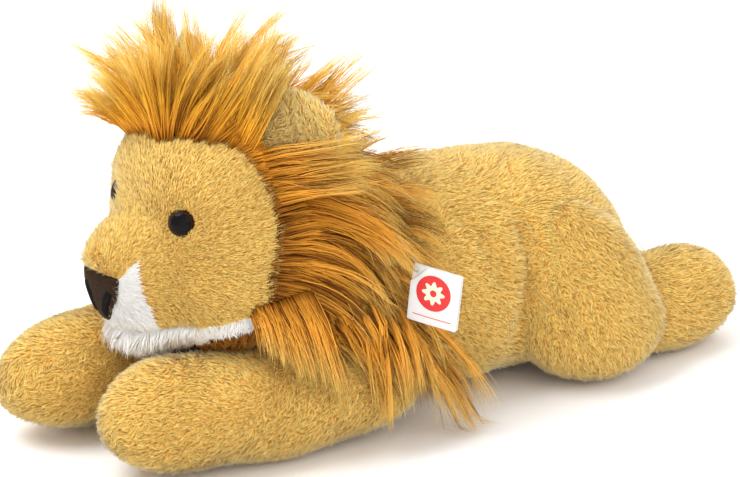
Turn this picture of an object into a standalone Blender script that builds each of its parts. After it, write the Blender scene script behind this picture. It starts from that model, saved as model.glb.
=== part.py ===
"""A stuffed toy lion lying on its belly, as the pieces that it is sewn from.

Metres, +Z up. The lion faces -Y and its left side is +X. The floor is Z = 0.
Soft pieces are plush skins round a fibre filling. Each skin is a shell that is open where
it is sewn to its larger neighbour, and each smaller piece is cut by the larger ones.
"""

import math

import bmesh
import bpy
import numpy as np
from mathutils import Matrix, Vector
from mathutils.bvhtree import BVHTree

MM = 0.001

# Fabric and fits
SKIN = 3 * MM
GAP = 0.4 * MM
RUNNING_GAP = 1.1 * MM
FLAT_DEPTH = 0.5 * MM
OVERRUN = 20 * MM

# Torso, from the neck end inside the head to the rump
TORSO_FRONT_Y = -92 * MM
TORSO_REAR_Y = 181 * MM
TORSO_HALF_WIDTH = 80 * MM
TORSO_HEIGHT = 146 * MM
TORSO_WIDTH_SHARES = ((0, 0.70), (0.25, 0.80), (0.45, 0.93), (0.62, 1.0), (0.85, 1.0), (1, 0.95))
TORSO_HEIGHT_SHARES = ((0, 0.90), (0.25, 0.96), (0.5, 1.0), (0.7, 0.99), (0.88, 0.96), (1, 0.88))
TORSO_BLUNT = 3.6

# Head. The skull is round in the plane of the nod, so that it turns in its seat
NOD_Y = -104 * MM
NOD_Z = 128 * MM
NOD_DEGREES = 8
SKULL_HALF_WIDTH = 73 * MM
SKULL_RADIUS = 61 * MM
BROW_FORWARD = 12 * MM
BROW_RISE = 30 * MM
BROW_HALF_SIZES = (61 * MM, 46 * MM, 47 * MM)
CHEEK_FORWARD = 6 * MM
CHEEK_DROP = 20 * MM
CHEEK_HALF_SIZES = (73 * MM, 53 * MM, 43 * MM)
MUZZLE_FORWARD = 42 * MM
MUZZLE_DROP = 8 * MM
MUZZLE_HALF_SIZES = (31 * MM, 49 * MM, 34 * MM)
JAW_FORWARD = 31 * MM
JAW_DROP = 31 * MM
JAW_HALF_SIZES = (34 * MM, 49 * MM, 33 * MM)
HEAD_BLEND = 8 * MM
BROW_POWER = 2.4
CHEEK_POWER = 2.2
MUZZLE_POWER = 2.3
JAW_POWER = 2.2
FAR = 400 * MM
RAY_HALVINGS = 24
CENTRE_DROP = 13 * MM

# White panels of the head. The muzzle panel is a trapezium seen from the front
PANEL_TOP_HALF_WIDTH = 21 * MM
PANEL_LOW_HALF_WIDTH = 35 * MM
PANEL_REAR_Y = -158 * MM
PANEL_TOP_Z = 128 * MM
PANEL_LOW_Z = 70 * MM
MOUTH_FRONT_Z = 79 * MM
MOUTH_FRONT_Y = -200 * MM
MOUTH_BEND_Z = 85 * MM
MOUTH_BEND_Y = -166 * MM
MOUTH_REAR_Z = 118 * MM
MOUTH_REAR_Y = -88 * MM
NECK_MOUTH_RADIUS = 26 * MM
NECK_MOUTH_Z = 112 * MM

# Nose patch, a rounded triangle that wraps the muzzle
NOSE_HALF_WIDTH = 19 * MM
NOSE_TOP_Z = 124 * MM
NOSE_LOW_Z = 91 * MM
NOSE_TIP_HALF_WIDTH = 4 * MM
NOSE_THICKNESS = 2.2 * MM
NOSE_DEPTH = 26 * MM
NOSE_CORNER = 3 * MM

# Eyes
EYE_X = 42 * MM
EYE_Z = 158 * MM
EYE_RADIUS = 8.5 * MM
EYE_DOME = 5.5 * MM
EYE_SHANK_RADIUS = 2.2 * MM
EYE_SHANK_LENGTH = 12 * MM
WASHER_RADIUS = 7.5 * MM
WASHER_THICKNESS = 1.6 * MM
WASHER_DEPTH = 7.2 * MM
WASHER_ROOM = 1.0 * MM

# Ears
EAR_BASE_X = 48 * MM
EAR_BASE_Y = -94 * MM
EAR_BASE_Z = 166 * MM
EAR_TIP_X = 72 * MM
EAR_TIP_Y = -84 * MM
EAR_TIP_Z = 229 * MM
EAR_HALF_WIDTH = 23 * MM
EAR_HALF_THICKNESS = 6.5 * MM
EAR_TURN_DEGREES = 35
EAR_FOLD_DEGREES = 15
EAR_HINGE_SHARE = 0.42
EAR_BLUNT = 2.4
EAR_ROOM = 3 * MM

# Front legs
LEFT_PAW_TIP_Y = -212 * MM
RIGHT_PAW_TIP_Y = -237 * MM
PAW_X = 42 * MM
ELBOW_TIP_Y = -4 * MM
ELBOW_X = 62 * MM
FRONT_LEG_HEIGHT = 78 * MM
FRONT_LEG_HALF_WIDTH = 39 * MM
FRONT_LEG_SHARES = ((0, 1.03), (0.2, 1.02), (0.5, 0.93), (0.8, 0.97), (1, 1.0))
FRONT_LEG_BLUNT = 2.7
FRONT_LEG_ROOM = 3 * MM
FRONT_SPLAY_DEGREES = 8
FRONT_PIVOT_X = 62 * MM
FRONT_PIVOT_Y = -8 * MM

# Hind legs
THIGH_HEIGHT = 122 * MM
THIGH_LOW_X = 60 * MM
THIGH_LOW_Y = 147 * MM
THIGH_TOP_X = 50 * MM
THIGH_TOP_Y = 120 * MM
THIGH_HALF_WIDTH = 46 * MM
THIGH_HALF_LENGTH = 52 * MM
THIGH_SHARES = ((0, 0.98), (0.3, 1.0), (0.6, 0.88), (1, 0.72))
THIGH_BLUNT = 2.4
FOOT_X = 47 * MM
FOOT_FRONT_Y = 140 * MM
LEFT_FOOT_REAR_Y = 256 * MM
RIGHT_FOOT_REAR_Y = 232 * MM
FOOT_HALF_WIDTH = 34 * MM
FOOT_HEIGHT = 70 * MM
FOOT_SHARES = ((0, 0.9), (0.5, 0.97), (1, 1.0))
FOOT_BLUNT = 2.5
HIND_SPLAY_DEGREES = 8
HIND_PIVOT_X = 74 * MM
HIND_PIVOT_Y = 90 * MM

# Tail, from the rump down between the feet and round behind the right foot
TAIL_RADIUS = 10 * MM
TAIL_BASE_Z = 92 * MM
TAIL_DROP_Y = 204 * MM
TAIL_DROP_Z = 46 * MM
TAIL_FLOOR_Y = 226 * MM
TAIL_BEND_X = -12 * MM
TAIL_BEND_Y = 244 * MM
TAIL_LIE_X = -38 * MM
TAIL_LIE_Y = 253 * MM
TASSEL_X = -78 * MM
TASSEL_RADIUS = 15 * MM
TASSEL_BLUNT = 2.4
TAIL_ARCH = 3 * MM
CAP_SHARE = 0.8

# Mane. The crest turns with the head, the curtains and the cape stay on the torso
CREST_FORWARD = 8 * MM
CREST_RISE = 72 * MM
CREST_HALF_SIZES = (66 * MM, 72 * MM, 58 * MM)
CREST_POWER = 2.2
CREST_LOW_Z = 180 * MM
HAIRLINE_Y = -150 * MM
HAIRLINE_Z = 197 * MM
HAIRLINE_RISE_DEGREES = 24
MANE_SPLIT_DEGREES = 54
SPLIT_SLACK_DEGREES = 1
MANE_LOW_Z = 8 * MM
MANE_TOP_Z = 214 * MM
MANE_HALF_WIDTH = 102 * MM
MANE_HALF_LENGTH = 82 * MM
MANE_WIDTH_SHARES = ((0, 0.98), (0.4, 1.0), (0.75, 0.85), (1, 0.57))
MANE_LENGTH_SHARES = ((0, 0.40), (0.3, 0.85), (0.6, 1.0), (1, 0.75))
MANE_LOW_Y = 2 * MM
MANE_MID_Y = -36 * MM
MANE_TOP_Y = -36 * MM
MANE_MID_SHARE = 0.5
MANE_BLUNT = 3.4
MANE_FRONT_Y = -110 * MM
MANE_CHEEK_TOP_Z = 162 * MM
CAPE_HALF_WIDTH = 44 * MM
CAPE_LOW_Z = 100 * MM

# Hang tag: a cover leaf in front of a thicker book of pages, on a loop of thread
TAG_WIDTH = 33 * MM
TAG_HEIGHT = 36 * MM
TAG_COVER = 0.8 * MM
TAG_BOOK = 2.0 * MM
TAG_CENTRE_X = 112 * MM
TAG_CENTRE_Y = -22 * MM
TAG_CENTRE_Z = 105 * MM
TAG_TURN_DEGREES = 30
TAG_ROLL_DEGREES = 6
TAG_HOLE_RADIUS = 1.5 * MM
TAG_HOLE_INSET = 4 * MM
TAG_BOOK_CLIP = 1 * MM
TAG_COVER_CLIP = 11 * MM
TAG_SWING_DEGREES = 20
TAG_OPEN_DEGREES = 100
TAG_SWING_STEPS = 5
LOOP_RADIUS = 0.6 * MM
LOOP_LENGTH = 12 * MM
LOOP_HALF_WIDTH = 4 * MM
LOOP_BLUNT = 3.5

# Faces of each form
RINGS = 12
SIDES = 16
INNER_RINGS = 7
INNER_SIDES = 10
HEAD_RINGS = 18
HEAD_SIDES = 24
CREST_RINGS = 10
CREST_SIDES = 14
MANE_RINGS = 10
MANE_SIDES = 20
MANE_PHASE = 0.5
EAR_RINGS = 7
EAR_SIDES = 12
TURNED_SIDES = 16
TAIL_POINTS = 14
TAIL_SIDES = 10
TASSEL_POINTS = 8
LOOP_POINTS = 24
LOOP_SIDES = 6
CORNER_STEPS = 3
DOME_STEPS = 4
NOD_STEPS = 4
SWING_STEPS = 3
FRONT_SAMPLES = 400
ODD_DIRECTION_SHARES = (1.0, 0.35, 0.2)


def clear_scene():
    for obj in list(bpy.data.objects):
        bpy.data.objects.remove(obj, do_unlink=True)


def material(name, colour, roughness):
    made = bpy.data.materials.new(name)
    made.use_nodes = True
    shader = made.node_tree.nodes["Principled BSDF"]
    shader.inputs["Base Color"].default_value = (*colour, 1.0)
    shader.inputs["Roughness"].default_value = roughness
    shader.inputs["Metallic"].default_value = 0.0
    return made


def put_mesh(name, points, faces, finish=None):
    """One named object with its faces turned outwards. Without a finish it is a hidden guide."""
    mesh = bpy.data.meshes.new(name)
    mesh.from_pydata([tuple(map(float, p)) for p in points], [], faces)
    shape = bmesh.new()
    shape.from_mesh(mesh)
    bmesh.ops.recalc_face_normals(shape, faces=shape.faces)
    shape.to_mesh(mesh)
    shape.free()
    mesh.shade_smooth()
    obj = bpy.data.objects.new(name, mesh)
    bpy.context.scene.collection.objects.link(obj)
    if finish:
        mesh.materials.append(finish)
    else:
        obj.hide_render = True
        obj.display_type = "WIRE"
    return obj


def closed_rings(rings, first, last):
    """Points and faces of a closed skin through rings, drawn to one point at each end."""
    count, sides = rings.shape[:2]
    points = np.concatenate([[first], rings.reshape(-1, 3), [last]])
    end = len(points) - 1
    faces = []
    for side in range(sides):
        after = (side + 1) % sides
        faces.append((0, 1 + after, 1 + side))
        faces.append((end, end - sides + side, end - sides + after))
        for ring in range(count - 1):
            low = 1 + ring * sides
            faces.append((low + side, low + after, low + sides + after))
            faces.append((low + side, low + sides + after, low + sides + side))
    return points, faces


def end_spaced(count):
    """Places from 0 to 1 that draw together towards both ends, with the ends left out."""
    return (1 - np.cos(np.linspace(0, np.pi, count + 2)[1:-1])) / 2


def shares_at(table, along):
    places, shares = zip(*table)
    return np.interp(along, places, shares)


def blunt_profile(along, blunt):
    """Width share along a form with round ends: a superellipse of the given power."""
    return (1 - np.abs(2 * along - 1) ** blunt) ** (1 / blunt)


def loft(spine, across, up, half_width, half_height, blunt, grow=0.0, rings=RINGS, sides=SIDES, phase=0.0):
    """Ellipses carried along a spine. The three size arguments are functions of the share along.

    The phase turns the corners of each ellipse by that share of one side.
    """
    ends = spine(np.array([0.0, 1.0]))
    ahead = (ends[1] - ends[0]) / np.linalg.norm(ends[1] - ends[0])
    along = end_spaced(rings)
    round_end = blunt_profile(along, blunt)
    turn = 2 * np.pi * (np.arange(sides) + phase) / sides
    wide = (half_width(along) * round_end + grow)[:, None, None]
    high = (half_height(along) * round_end + grow)[:, None, None]
    middle = spine(along) + (2 * along - 1)[:, None] * grow * ahead
    ring = (
        middle[:, None, :]
        + wide * np.cos(turn)[None, :, None] * np.array(across)
        + high * np.sin(turn)[None, :, None] * np.array(up)
    )
    return closed_rings(ring, ends[0] - grow * ahead, ends[1] + grow * ahead)


def torso_form(grow=0.0, rings=RINGS, sides=SIDES):
    def half_height(along):
        return TORSO_HEIGHT / 2 * shares_at(TORSO_HEIGHT_SHARES, along)

    def spine(along):
        y = TORSO_FRONT_Y + (TORSO_REAR_Y - TORSO_FRONT_Y) * along
        return np.stack([0 * along, y, half_height(along) - FLAT_DEPTH], -1)

    def half_width(along):
        return TORSO_HALF_WIDTH * shares_at(TORSO_WIDTH_SHARES, along)

    return loft(spine, (1, 0, 0), (0, 0, 1), half_width, half_height, TORSO_BLUNT, grow, rings, sides)


def front_leg_form(side, grow=0.0, rings=RINGS, sides=SIDES):
    tip_y = LEFT_PAW_TIP_Y if side > 0 else RIGHT_PAW_TIP_Y

    def half_height(along):
        return FRONT_LEG_HEIGHT / 2 * shares_at(FRONT_LEG_SHARES, along)

    def spine(along):
        x = side * (PAW_X + (ELBOW_X - PAW_X) * along)
        y = tip_y + (ELBOW_TIP_Y - tip_y) * along
        return np.stack([x, y, half_height(along) - FLAT_DEPTH], -1)

    def half_width(along):
        return FRONT_LEG_HALF_WIDTH * shares_at(FRONT_LEG_SHARES, along)

    return loft(spine, (1, 0, 0), (0, 0, 1), half_width, half_height, FRONT_LEG_BLUNT, grow, rings, sides)


def front_leg_room(side):
    """The space that the splaying leg takes up: a leg that widens outwards away from its pivot."""
    tip_y = LEFT_PAW_TIP_Y if side > 0 else RIGHT_PAW_TIP_Y
    slope = math.tan(math.radians(FRONT_SPLAY_DEGREES)) / 2

    def half_height(along):
        return FRONT_LEG_HEIGHT / 2 * shares_at(FRONT_LEG_SHARES, along)

    def place_y(along):
        return tip_y + (ELBOW_TIP_Y - tip_y) * along

    def lean(along):
        return slope * np.maximum(FRONT_PIVOT_Y - place_y(along), 0)

    def spine(along):
        x = side * (PAW_X + (ELBOW_X - PAW_X) * along + lean(along))
        return np.stack([x, place_y(along), half_height(along) - FLAT_DEPTH], -1)

    def half_width(along):
        return FRONT_LEG_HALF_WIDTH * shares_at(FRONT_LEG_SHARES, along) + lean(along)

    return loft(spine, (1, 0, 0), (0, 0, 1), half_width, half_height, FRONT_LEG_BLUNT, FRONT_LEG_ROOM)


def thigh_form(side, grow=0.0, rings=RINGS, sides=SIDES):
    def spine(along):
        x = side * (THIGH_LOW_X + (THIGH_TOP_X - THIGH_LOW_X) * along)
        y = THIGH_LOW_Y + (THIGH_TOP_Y - THIGH_LOW_Y) * along
        return np.stack([x, y, THIGH_HEIGHT * along - FLAT_DEPTH], -1)

    def half_width(along):
        return THIGH_HALF_WIDTH * shares_at(THIGH_SHARES, along)

    def half_length(along):
        return THIGH_HALF_LENGTH * shares_at(THIGH_SHARES, along)

    return loft(spine, (1, 0, 0), (0, 1, 0), half_width, half_length, THIGH_BLUNT, grow, rings, sides)


def foot_form(side, grow=0.0, rings=RINGS, sides=SIDES):
    rear_y = LEFT_FOOT_REAR_Y if side > 0 else RIGHT_FOOT_REAR_Y

    def half_height(along):
        return FOOT_HEIGHT / 2 * shares_at(FOOT_SHARES, along)

    def spine(along):
        y = FOOT_FRONT_Y + (rear_y - FOOT_FRONT_Y) * along
        return np.stack([side * FOOT_X + 0 * along, y, half_height(along) - FLAT_DEPTH], -1)

    def half_width(along):
        return FOOT_HALF_WIDTH * shares_at(FOOT_SHARES, along)

    return loft(spine, (1, 0, 0), (0, 0, 1), half_width, half_height, FOOT_BLUNT, grow, rings, sides)


def exit_distance(rays, start, centre, half_sizes, power):
    """How far each ray from start runs inside the superellipsoid of that power round centre."""
    near = np.zeros(rays.shape[:-1])
    far = near + FAR
    for _ in range(RAY_HALVINGS):
        middle = (near + far) / 2
        place = (start + rays * middle[..., None] - centre) / half_sizes
        inside = (np.abs(place) ** power).sum(-1) < 1
        near = np.where(inside, middle, near)
        far = np.where(inside, far, middle)
    return near


def smooth_larger(first, second, blend):
    """The larger of two distances, rounded where they are nearly equal."""
    return (first + second + np.sqrt((first - second) ** 2 + blend**2)) / 2


def reach_of(directions, start, lumps, blend):
    """How far a swollen form reaches from start in each direction."""
    distance = exit_distance(directions, start, *lumps[0])
    for lump in lumps[1:]:
        distance = smooth_larger(distance, exit_distance(directions, start, *lump), blend)
    return distance


def swollen(start, lumps, blend, grow, rings, sides):
    """A closed skin round a start point: in each direction as far as the farthest lump reaches.

    Its rings lie round the Y axis, from the front pole to the rear one.
    """
    start = np.array(start)
    polar = np.linspace(0, np.pi, rings + 2)[1:-1, None]
    turn = np.linspace(0, 2 * np.pi, sides, endpoint=False)[None, :]
    level = 0 * turn
    rays = np.stack([np.sin(polar) * np.cos(turn), level - np.cos(polar), np.sin(polar) * np.sin(turn)], -1)
    poles = np.array([[0.0, -1.0, 0.0], [0.0, 1.0, 0.0]])
    ends = start + poles * (reach_of(poles, start, lumps, blend) + grow)[:, None]
    skin = start + rays * (reach_of(rays, start, lumps, blend) + grow)[..., None]
    return closed_rings(skin, ends[0], ends[1])


def head_lumps():
    """Centre, half sizes and power of each lump: skull, brow, cheeks, muzzle and jaw."""
    return (
        ((0, NOD_Y, NOD_Z), (SKULL_HALF_WIDTH, SKULL_RADIUS, SKULL_RADIUS), 2),
        ((0, NOD_Y - BROW_FORWARD, NOD_Z + BROW_RISE), BROW_HALF_SIZES, BROW_POWER),
        ((0, NOD_Y - CHEEK_FORWARD, NOD_Z - CHEEK_DROP), CHEEK_HALF_SIZES, CHEEK_POWER),
        ((0, NOD_Y - MUZZLE_FORWARD, NOD_Z - MUZZLE_DROP), MUZZLE_HALF_SIZES, MUZZLE_POWER),
        ((0, NOD_Y - JAW_FORWARD, NOD_Z - JAW_DROP), JAW_HALF_SIZES, JAW_POWER),
    )


def head_start():
    return np.array([0, NOD_Y, NOD_Z - CENTRE_DROP])


def head_form(grow=0.0, rings=HEAD_RINGS, sides=HEAD_SIDES):
    return swollen(head_start(), head_lumps(), HEAD_BLEND, grow, rings, sides)


def head_sweep(grow, side=0):
    """All the space that the head takes up on its way through the nod, as one form.

    With a side it is that space as seen from the front leg of that side while the leg splays.
    """
    start = head_start()

    def head_holds(points):
        away = points - start
        distance = np.linalg.norm(away, axis=-1)
        return reach_of(away / distance[..., None], start, head_lumps(), HEAD_BLEND) + grow > distance

    def inside(points):
        found = np.zeros(points.shape[:-1], dtype=bool)
        for splay in steps_to(FRONT_SPLAY_DEGREES, SWING_STEPS) if side else (0,):
            spread = splayed((points, None), front_pivot(side), side, splay)[0]
            for nod in steps_to(NOD_DEGREES, NOD_STEPS):
                found |= head_holds(nodded((spread, None), -nod)[0])
        return found

    points, faces = head_form(grow)
    rays = points - start
    rays = rays / np.linalg.norm(rays, axis=1)[:, None]
    near = np.full(len(points), SKULL_RADIUS / 2)
    far = np.full(len(points), FAR / 2)
    for _ in range(RAY_HALVINGS):
        middle = (near + far) / 2
        held = inside(start + rays * middle[:, None])
        near, far = np.where(held, middle, near), np.where(held, far, middle)
    return start + rays * near[:, None], faces


def crest_form(grow=0.0):
    centre = (0, NOD_Y - CREST_FORWARD, NOD_Z + CREST_RISE)
    return swollen(centre, ((centre, CREST_HALF_SIZES, CREST_POWER),), 0, grow, CREST_RINGS, CREST_SIDES)


def mane_form(grow=0.0):
    def spine(along):
        places = (0, MANE_MID_SHARE, 1)
        y = np.interp(along, places, (MANE_LOW_Y, MANE_MID_Y, MANE_TOP_Y))
        return np.stack([0 * along, y, MANE_LOW_Z + (MANE_TOP_Z - MANE_LOW_Z) * along], -1)

    def half_width(along):
        return MANE_HALF_WIDTH * shares_at(MANE_WIDTH_SHARES, along)

    def half_length(along):
        return MANE_HALF_LENGTH * shares_at(MANE_LENGTH_SHARES, along)

    sizes = (half_width, half_length, MANE_BLUNT, grow, MANE_RINGS, MANE_SIDES, MANE_PHASE)
    return loft(spine, (1, 0, 0), (0, 1, 0), *sizes)


def ear_frame(side):
    """Base, tip, the direction across the ear and the direction that it faces."""
    base = np.array([side * EAR_BASE_X, EAR_BASE_Y, EAR_BASE_Z])
    tip = np.array([side * EAR_TIP_X, EAR_TIP_Y, EAR_TIP_Z])
    turn = math.radians(EAR_TURN_DEGREES)
    facing = np.array([side * math.sin(turn), -math.cos(turn), 0])
    ahead = (tip - base) / np.linalg.norm(tip - base)
    across = np.cross(ahead, facing)
    across = across / np.linalg.norm(across)
    return base, tip, across, np.cross(across, ahead)


def ear_form(side, grow=0.0):
    base, tip, across, facing = ear_frame(side)

    def spine(along):
        return base + (tip - base) * along[:, None]

    def half_width(along):
        return EAR_HALF_WIDTH + 0 * along

    def half_thickness(along):
        return EAR_HALF_THICKNESS + 0 * along

    return loft(spine, across, facing, half_width, half_thickness, EAR_BLUNT, grow, EAR_RINGS, EAR_SIDES)


def ear_room(side):
    """The space that the folding ear takes up: an ear that thickens away from its hinge."""
    base, tip, across, facing = ear_frame(side)
    slope = math.tan(math.radians(EAR_FOLD_DEGREES)) / 2 * np.linalg.norm(tip - base)

    def lean(along):
        return slope * (along - EAR_HINGE_SHARE)

    def spine(along):
        return base + (tip - base) * along[:, None] + facing * lean(along)[:, None]

    def half_width(along):
        return EAR_HALF_WIDTH + 0 * along

    def half_thickness(along):
        return EAR_HALF_THICKNESS + np.abs(lean(along))

    sizes = (half_width, half_thickness, EAR_BLUNT, EAR_ROOM, EAR_RINGS, EAR_SIDES)
    return loft(spine, across, facing, *sizes)


def turned(form, origin, axis, degrees):
    """The same points and faces, turned about an axis through origin."""
    points, faces = form
    turn = np.array(Matrix.Rotation(math.radians(degrees), 3, Vector(axis)))
    return (points - origin) @ turn.T + origin, faces


def prism(outline, low, high, axis):
    """An outline of (first, second) places carried from low to high along an axis, 0, 1 or 2."""
    count = len(outline)
    points = []
    for level in (low, high):
        for first, second in outline:
            place = [first, second]
            place.insert(axis, level)
            points.append(place)
    faces = [tuple(range(count)), tuple(range(2 * count - 1, count - 1, -1))]
    for corner in range(count):
        after = (corner + 1) % count
        faces.append((corner, count + corner, count + after, after))
    return np.array(points), faces


def box(low, high):
    (x0, y0, z0), (x1, y1, z1) = low, high
    return prism([(y0, z0), (y1, z0), (y1, z1), (y0, z1)], x0, x1, 0)


def turned_profile(profile, origin, axis, sides):
    """A profile of (radius, height) spun about an axis. It starts and ends on the axis."""
    axis = np.array(axis) / np.linalg.norm(axis)
    across = np.cross(axis, (0, 0, 1))
    across = across / np.linalg.norm(across)
    up = np.cross(axis, across)
    turn = np.linspace(0, 2 * np.pi, sides, endpoint=False)[:, None]
    rim = np.cos(turn) * across + np.sin(turn) * up
    rings = np.array([origin + radius * rim + height * axis for radius, height in profile[1:-1]])
    return closed_rings(rings, origin + profile[0][1] * axis, origin + profile[-1][1] * axis)


def smooth_path(places, count):
    """A smooth curve through the given places, sampled at count points (Catmull-Rom)."""
    places = np.array(places)
    padded = np.concatenate([[2 * places[0] - places[1]], places, [2 * places[-1] - places[-2]]])
    at = np.linspace(0, len(places) - 1, count)
    index = np.minimum(at.astype(int), len(places) - 2)
    t = (at - index)[:, None]
    a, b, c, d = (padded[index + k] for k in range(4))
    return ((2 * b) + (c - a) * t + (2 * a - 5 * b + 4 * c - d) * t**2 + (3 * b - a - 3 * c + d) * t**3) / 2


def tube(path, radii, sides):
    """Rings round a path, with a radius at each of its points, and the path's directions."""
    tangent = np.gradient(path, axis=0)
    tangent = tangent / np.linalg.norm(tangent, axis=1)[:, None]
    across = np.cross(tangent, ODD_DIRECTION_SHARES)
    across = across / np.linalg.norm(across, axis=1)[:, None]
    up = np.cross(tangent, across)
    turn = np.linspace(0, 2 * np.pi, sides, endpoint=False)[None, :, None]
    rim = np.cos(turn) * across[:, None, :] + np.sin(turn) * up[:, None, :]
    return path[:, None, :] + rim * np.array(radii)[:, None, None], tangent


def alter(obj, cutter, operation="DIFFERENCE"):
    step = obj.modifiers.new(cutter.name, "BOOLEAN")
    step.operation = operation
    step.object = cutter
    step.solver = "EXACT"


def guide(name, form):
    return put_mesh("guide_" + name, *form)


def side_name(word, side):
    return word + ("_left" if side > 0 else "_right")


def front_pivot(side):
    return np.array([side * FRONT_PIVOT_X, FRONT_PIVOT_Y, 0])


def hind_pivot(side):
    return np.array([side * HIND_PIVOT_X, HIND_PIVOT_Y, 0])


def splayed(form, pivot, side, degrees):
    """A left leg turns one way about the upright axis, and a right leg the other way."""
    return turned(form, pivot, (0, 0, 1), side * degrees)


def nodded(form, degrees):
    """Turned about the head's axis. Positive degrees lift the nose."""
    return turned(form, np.array([0, NOD_Y, NOD_Z]), (-1, 0, 0), degrees)


def steps_to(degrees, count):
    return np.linspace(0, degrees, count)


def make_guides():
    """The shapes that cut the pieces, each grown by the gap that the cut leaves."""
    return {
        "floor": guide("floor", box((-FAR, -FAR, -FAR), (FAR, FAR, 0))),
        "torso": guide("torso", torso_form(GAP)),
        "head": guide("head", head_form(GAP)),
        "nod": guide("nod_room", head_sweep(RUNNING_GAP)),
        "mouth": guide("mouth", mouth_wedge(0)),
        "mouth_seam": guide("mouth_seam", mouth_wedge(GAP)),
        "panel": guide("panel", panel_prism(0)),
        "panel_seam": guide("panel_seam", panel_prism(GAP)),
        "ear_room_left": guide("ear_room_left", ear_room(1)),
        "ear_room_right": guide("ear_room_right", ear_room(-1)),
        "leg_room_left": guide("leg_room_left", front_leg_room(1)),
        "leg_room_right": guide("leg_room_right", front_leg_room(-1)),
    }


def mouth_wedge(grow):
    """Everything of the head under the mouth seam, which climbs behind the corners of the mouth."""
    slope = (MOUTH_BEND_Z - MOUTH_FRONT_Z) / (MOUTH_BEND_Y - MOUTH_FRONT_Y)
    front = MOUTH_FRONT_Y - OVERRUN
    front_z = MOUTH_FRONT_Z - slope * OVERRUN + grow
    rear = MOUTH_REAR_Y + grow
    seam = [(rear, MOUTH_REAR_Z + grow), (MOUTH_BEND_Y, MOUTH_BEND_Z + grow), (front, front_z)]
    outline = [(front, 0), (rear, 0), *seam]
    return prism(outline, -SKULL_HALF_WIDTH - OVERRUN, SKULL_HALF_WIDTH + OVERRUN, 0)


def panel_prism(grow):
    top, low = PANEL_TOP_HALF_WIDTH + grow, PANEL_LOW_HALF_WIDTH + grow
    top_z = PANEL_TOP_Z + grow
    outline = [(-low, PANEL_LOW_Z), (low, PANEL_LOW_Z), (top, top_z), (-top, top_z)]
    return prism(outline, MOUTH_FRONT_Y - OVERRUN, PANEL_REAR_Y + grow, 1)


def head_front_y(x, z):
    """Y of the head's front surface at a place in front view."""
    start = head_start()
    ys = np.linspace(MOUTH_FRONT_Y - OVERRUN, NOD_Y, FRONT_SAMPLES)
    away = np.stack([x + 0 * ys, ys, z + 0 * ys], -1) - start
    distance = np.linalg.norm(away, axis=1)
    reach = reach_of(away / distance[:, None], start, head_lumps(), HEAD_BLEND)
    inside = reach > distance
    return ys[np.argmax(inside)]


def head_place(x, z):
    """A point on the head's front surface and the outward direction there."""
    step = EYE_RADIUS / 2
    y = head_front_y(x, z)
    slope_x = (head_front_y(x + step, z) - head_front_y(x - step, z)) / (2 * step)
    slope_z = (head_front_y(x, z + step) - head_front_y(x, z - step)) / (2 * step)
    outward = np.array([slope_x, -1.0, slope_z])
    return np.array([x, y, z]), outward / np.linalg.norm(outward)


def disc(origin, axis, radius, low, high):
    profile = [(0, low), (radius, low), (radius, high), (0, high)]
    return turned_profile(profile, origin, axis, TURNED_SIDES)


def rounded(corners, radius):
    """A polygon whose corners are arcs of the given radius."""
    outline = []
    corners = [np.array(corner) for corner in corners]
    for index, corner in enumerate(corners):
        before = corners[index - 1] - corner
        after = corners[(index + 1) % len(corners)] - corner
        before = before / np.linalg.norm(before)
        after = after / np.linalg.norm(after)
        half = math.acos(np.dot(before, after)) / 2
        reach = radius / math.tan(half)
        middle = (before + after) / np.linalg.norm(before + after)
        centre = corner + middle * radius / math.sin(half)
        first = corner + before * reach - centre
        last = corner + after * reach - centre
        for step in range(CORNER_STEPS + 1):
            share = step / CORNER_STEPS
            spoke = first * (1 - share) + last * share
            outline.append(centre + spoke / np.linalg.norm(spoke) * radius)
    return outline


def make_torso(looks, guides):
    skin = put_mesh("torso_skin", *torso_form(), looks["golden"])
    alter(skin, guide("torso_hollow", torso_form(-SKIN, INNER_RINGS, INNER_SIDES)))
    filling = put_mesh("torso_filling", *torso_form(-SKIN - GAP, INNER_RINGS, INNER_SIDES), looks["filling"])
    alter(skin, guides["nod"])
    alter(filling, guides["nod"])
    alter(skin, guides["floor"])


def make_head(looks, guides):
    hollow = guide("head_hollow", head_form(-SKIN))
    neck_origin = np.array([0, NOD_Y, NECK_MOUTH_Z])
    neck = guide("neck_mouth", disc(neck_origin, (0, 1, 0), NECK_MOUTH_RADIUS, 0, SKULL_RADIUS + OVERRUN))
    face = put_mesh("face_skin", *head_form(), looks["golden"])
    for cutter in (hollow, neck, guides["mouth_seam"], guides["panel_seam"]):
        alter(face, cutter)
    muzzle = put_mesh("muzzle_panel", *head_form(), looks["white"])
    alter(muzzle, hollow)
    alter(muzzle, guides["panel"], "INTERSECT")
    alter(muzzle, guides["mouth_seam"])
    chin = put_mesh("chin_panel", *head_form(), looks["white"])
    alter(chin, hollow)
    alter(chin, guides["mouth"], "INTERSECT")
    filling = put_mesh("head_filling", *head_form(-SKIN - GAP), looks["filling"])
    return face, filling


def make_nose(looks):
    corners = [
        (-NOSE_HALF_WIDTH, NOSE_TOP_Z),
        (-NOSE_TIP_HALF_WIDTH, NOSE_LOW_Z),
        (NOSE_TIP_HALF_WIDTH, NOSE_LOW_Z),
        (NOSE_HALF_WIDTH, NOSE_TOP_Z),
    ]
    front = MOUTH_FRONT_Y - OVERRUN
    nose = put_mesh("nose", *head_form(GAP + NOSE_THICKNESS), looks["brown"])
    outline = prism(rounded(corners, NOSE_CORNER), front, MOUTH_FRONT_Y + NOSE_DEPTH, 1)
    alter(nose, guide("nose_outline", outline), "INTERSECT")
    alter(nose, bpy.data.objects["guide_head"])


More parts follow.
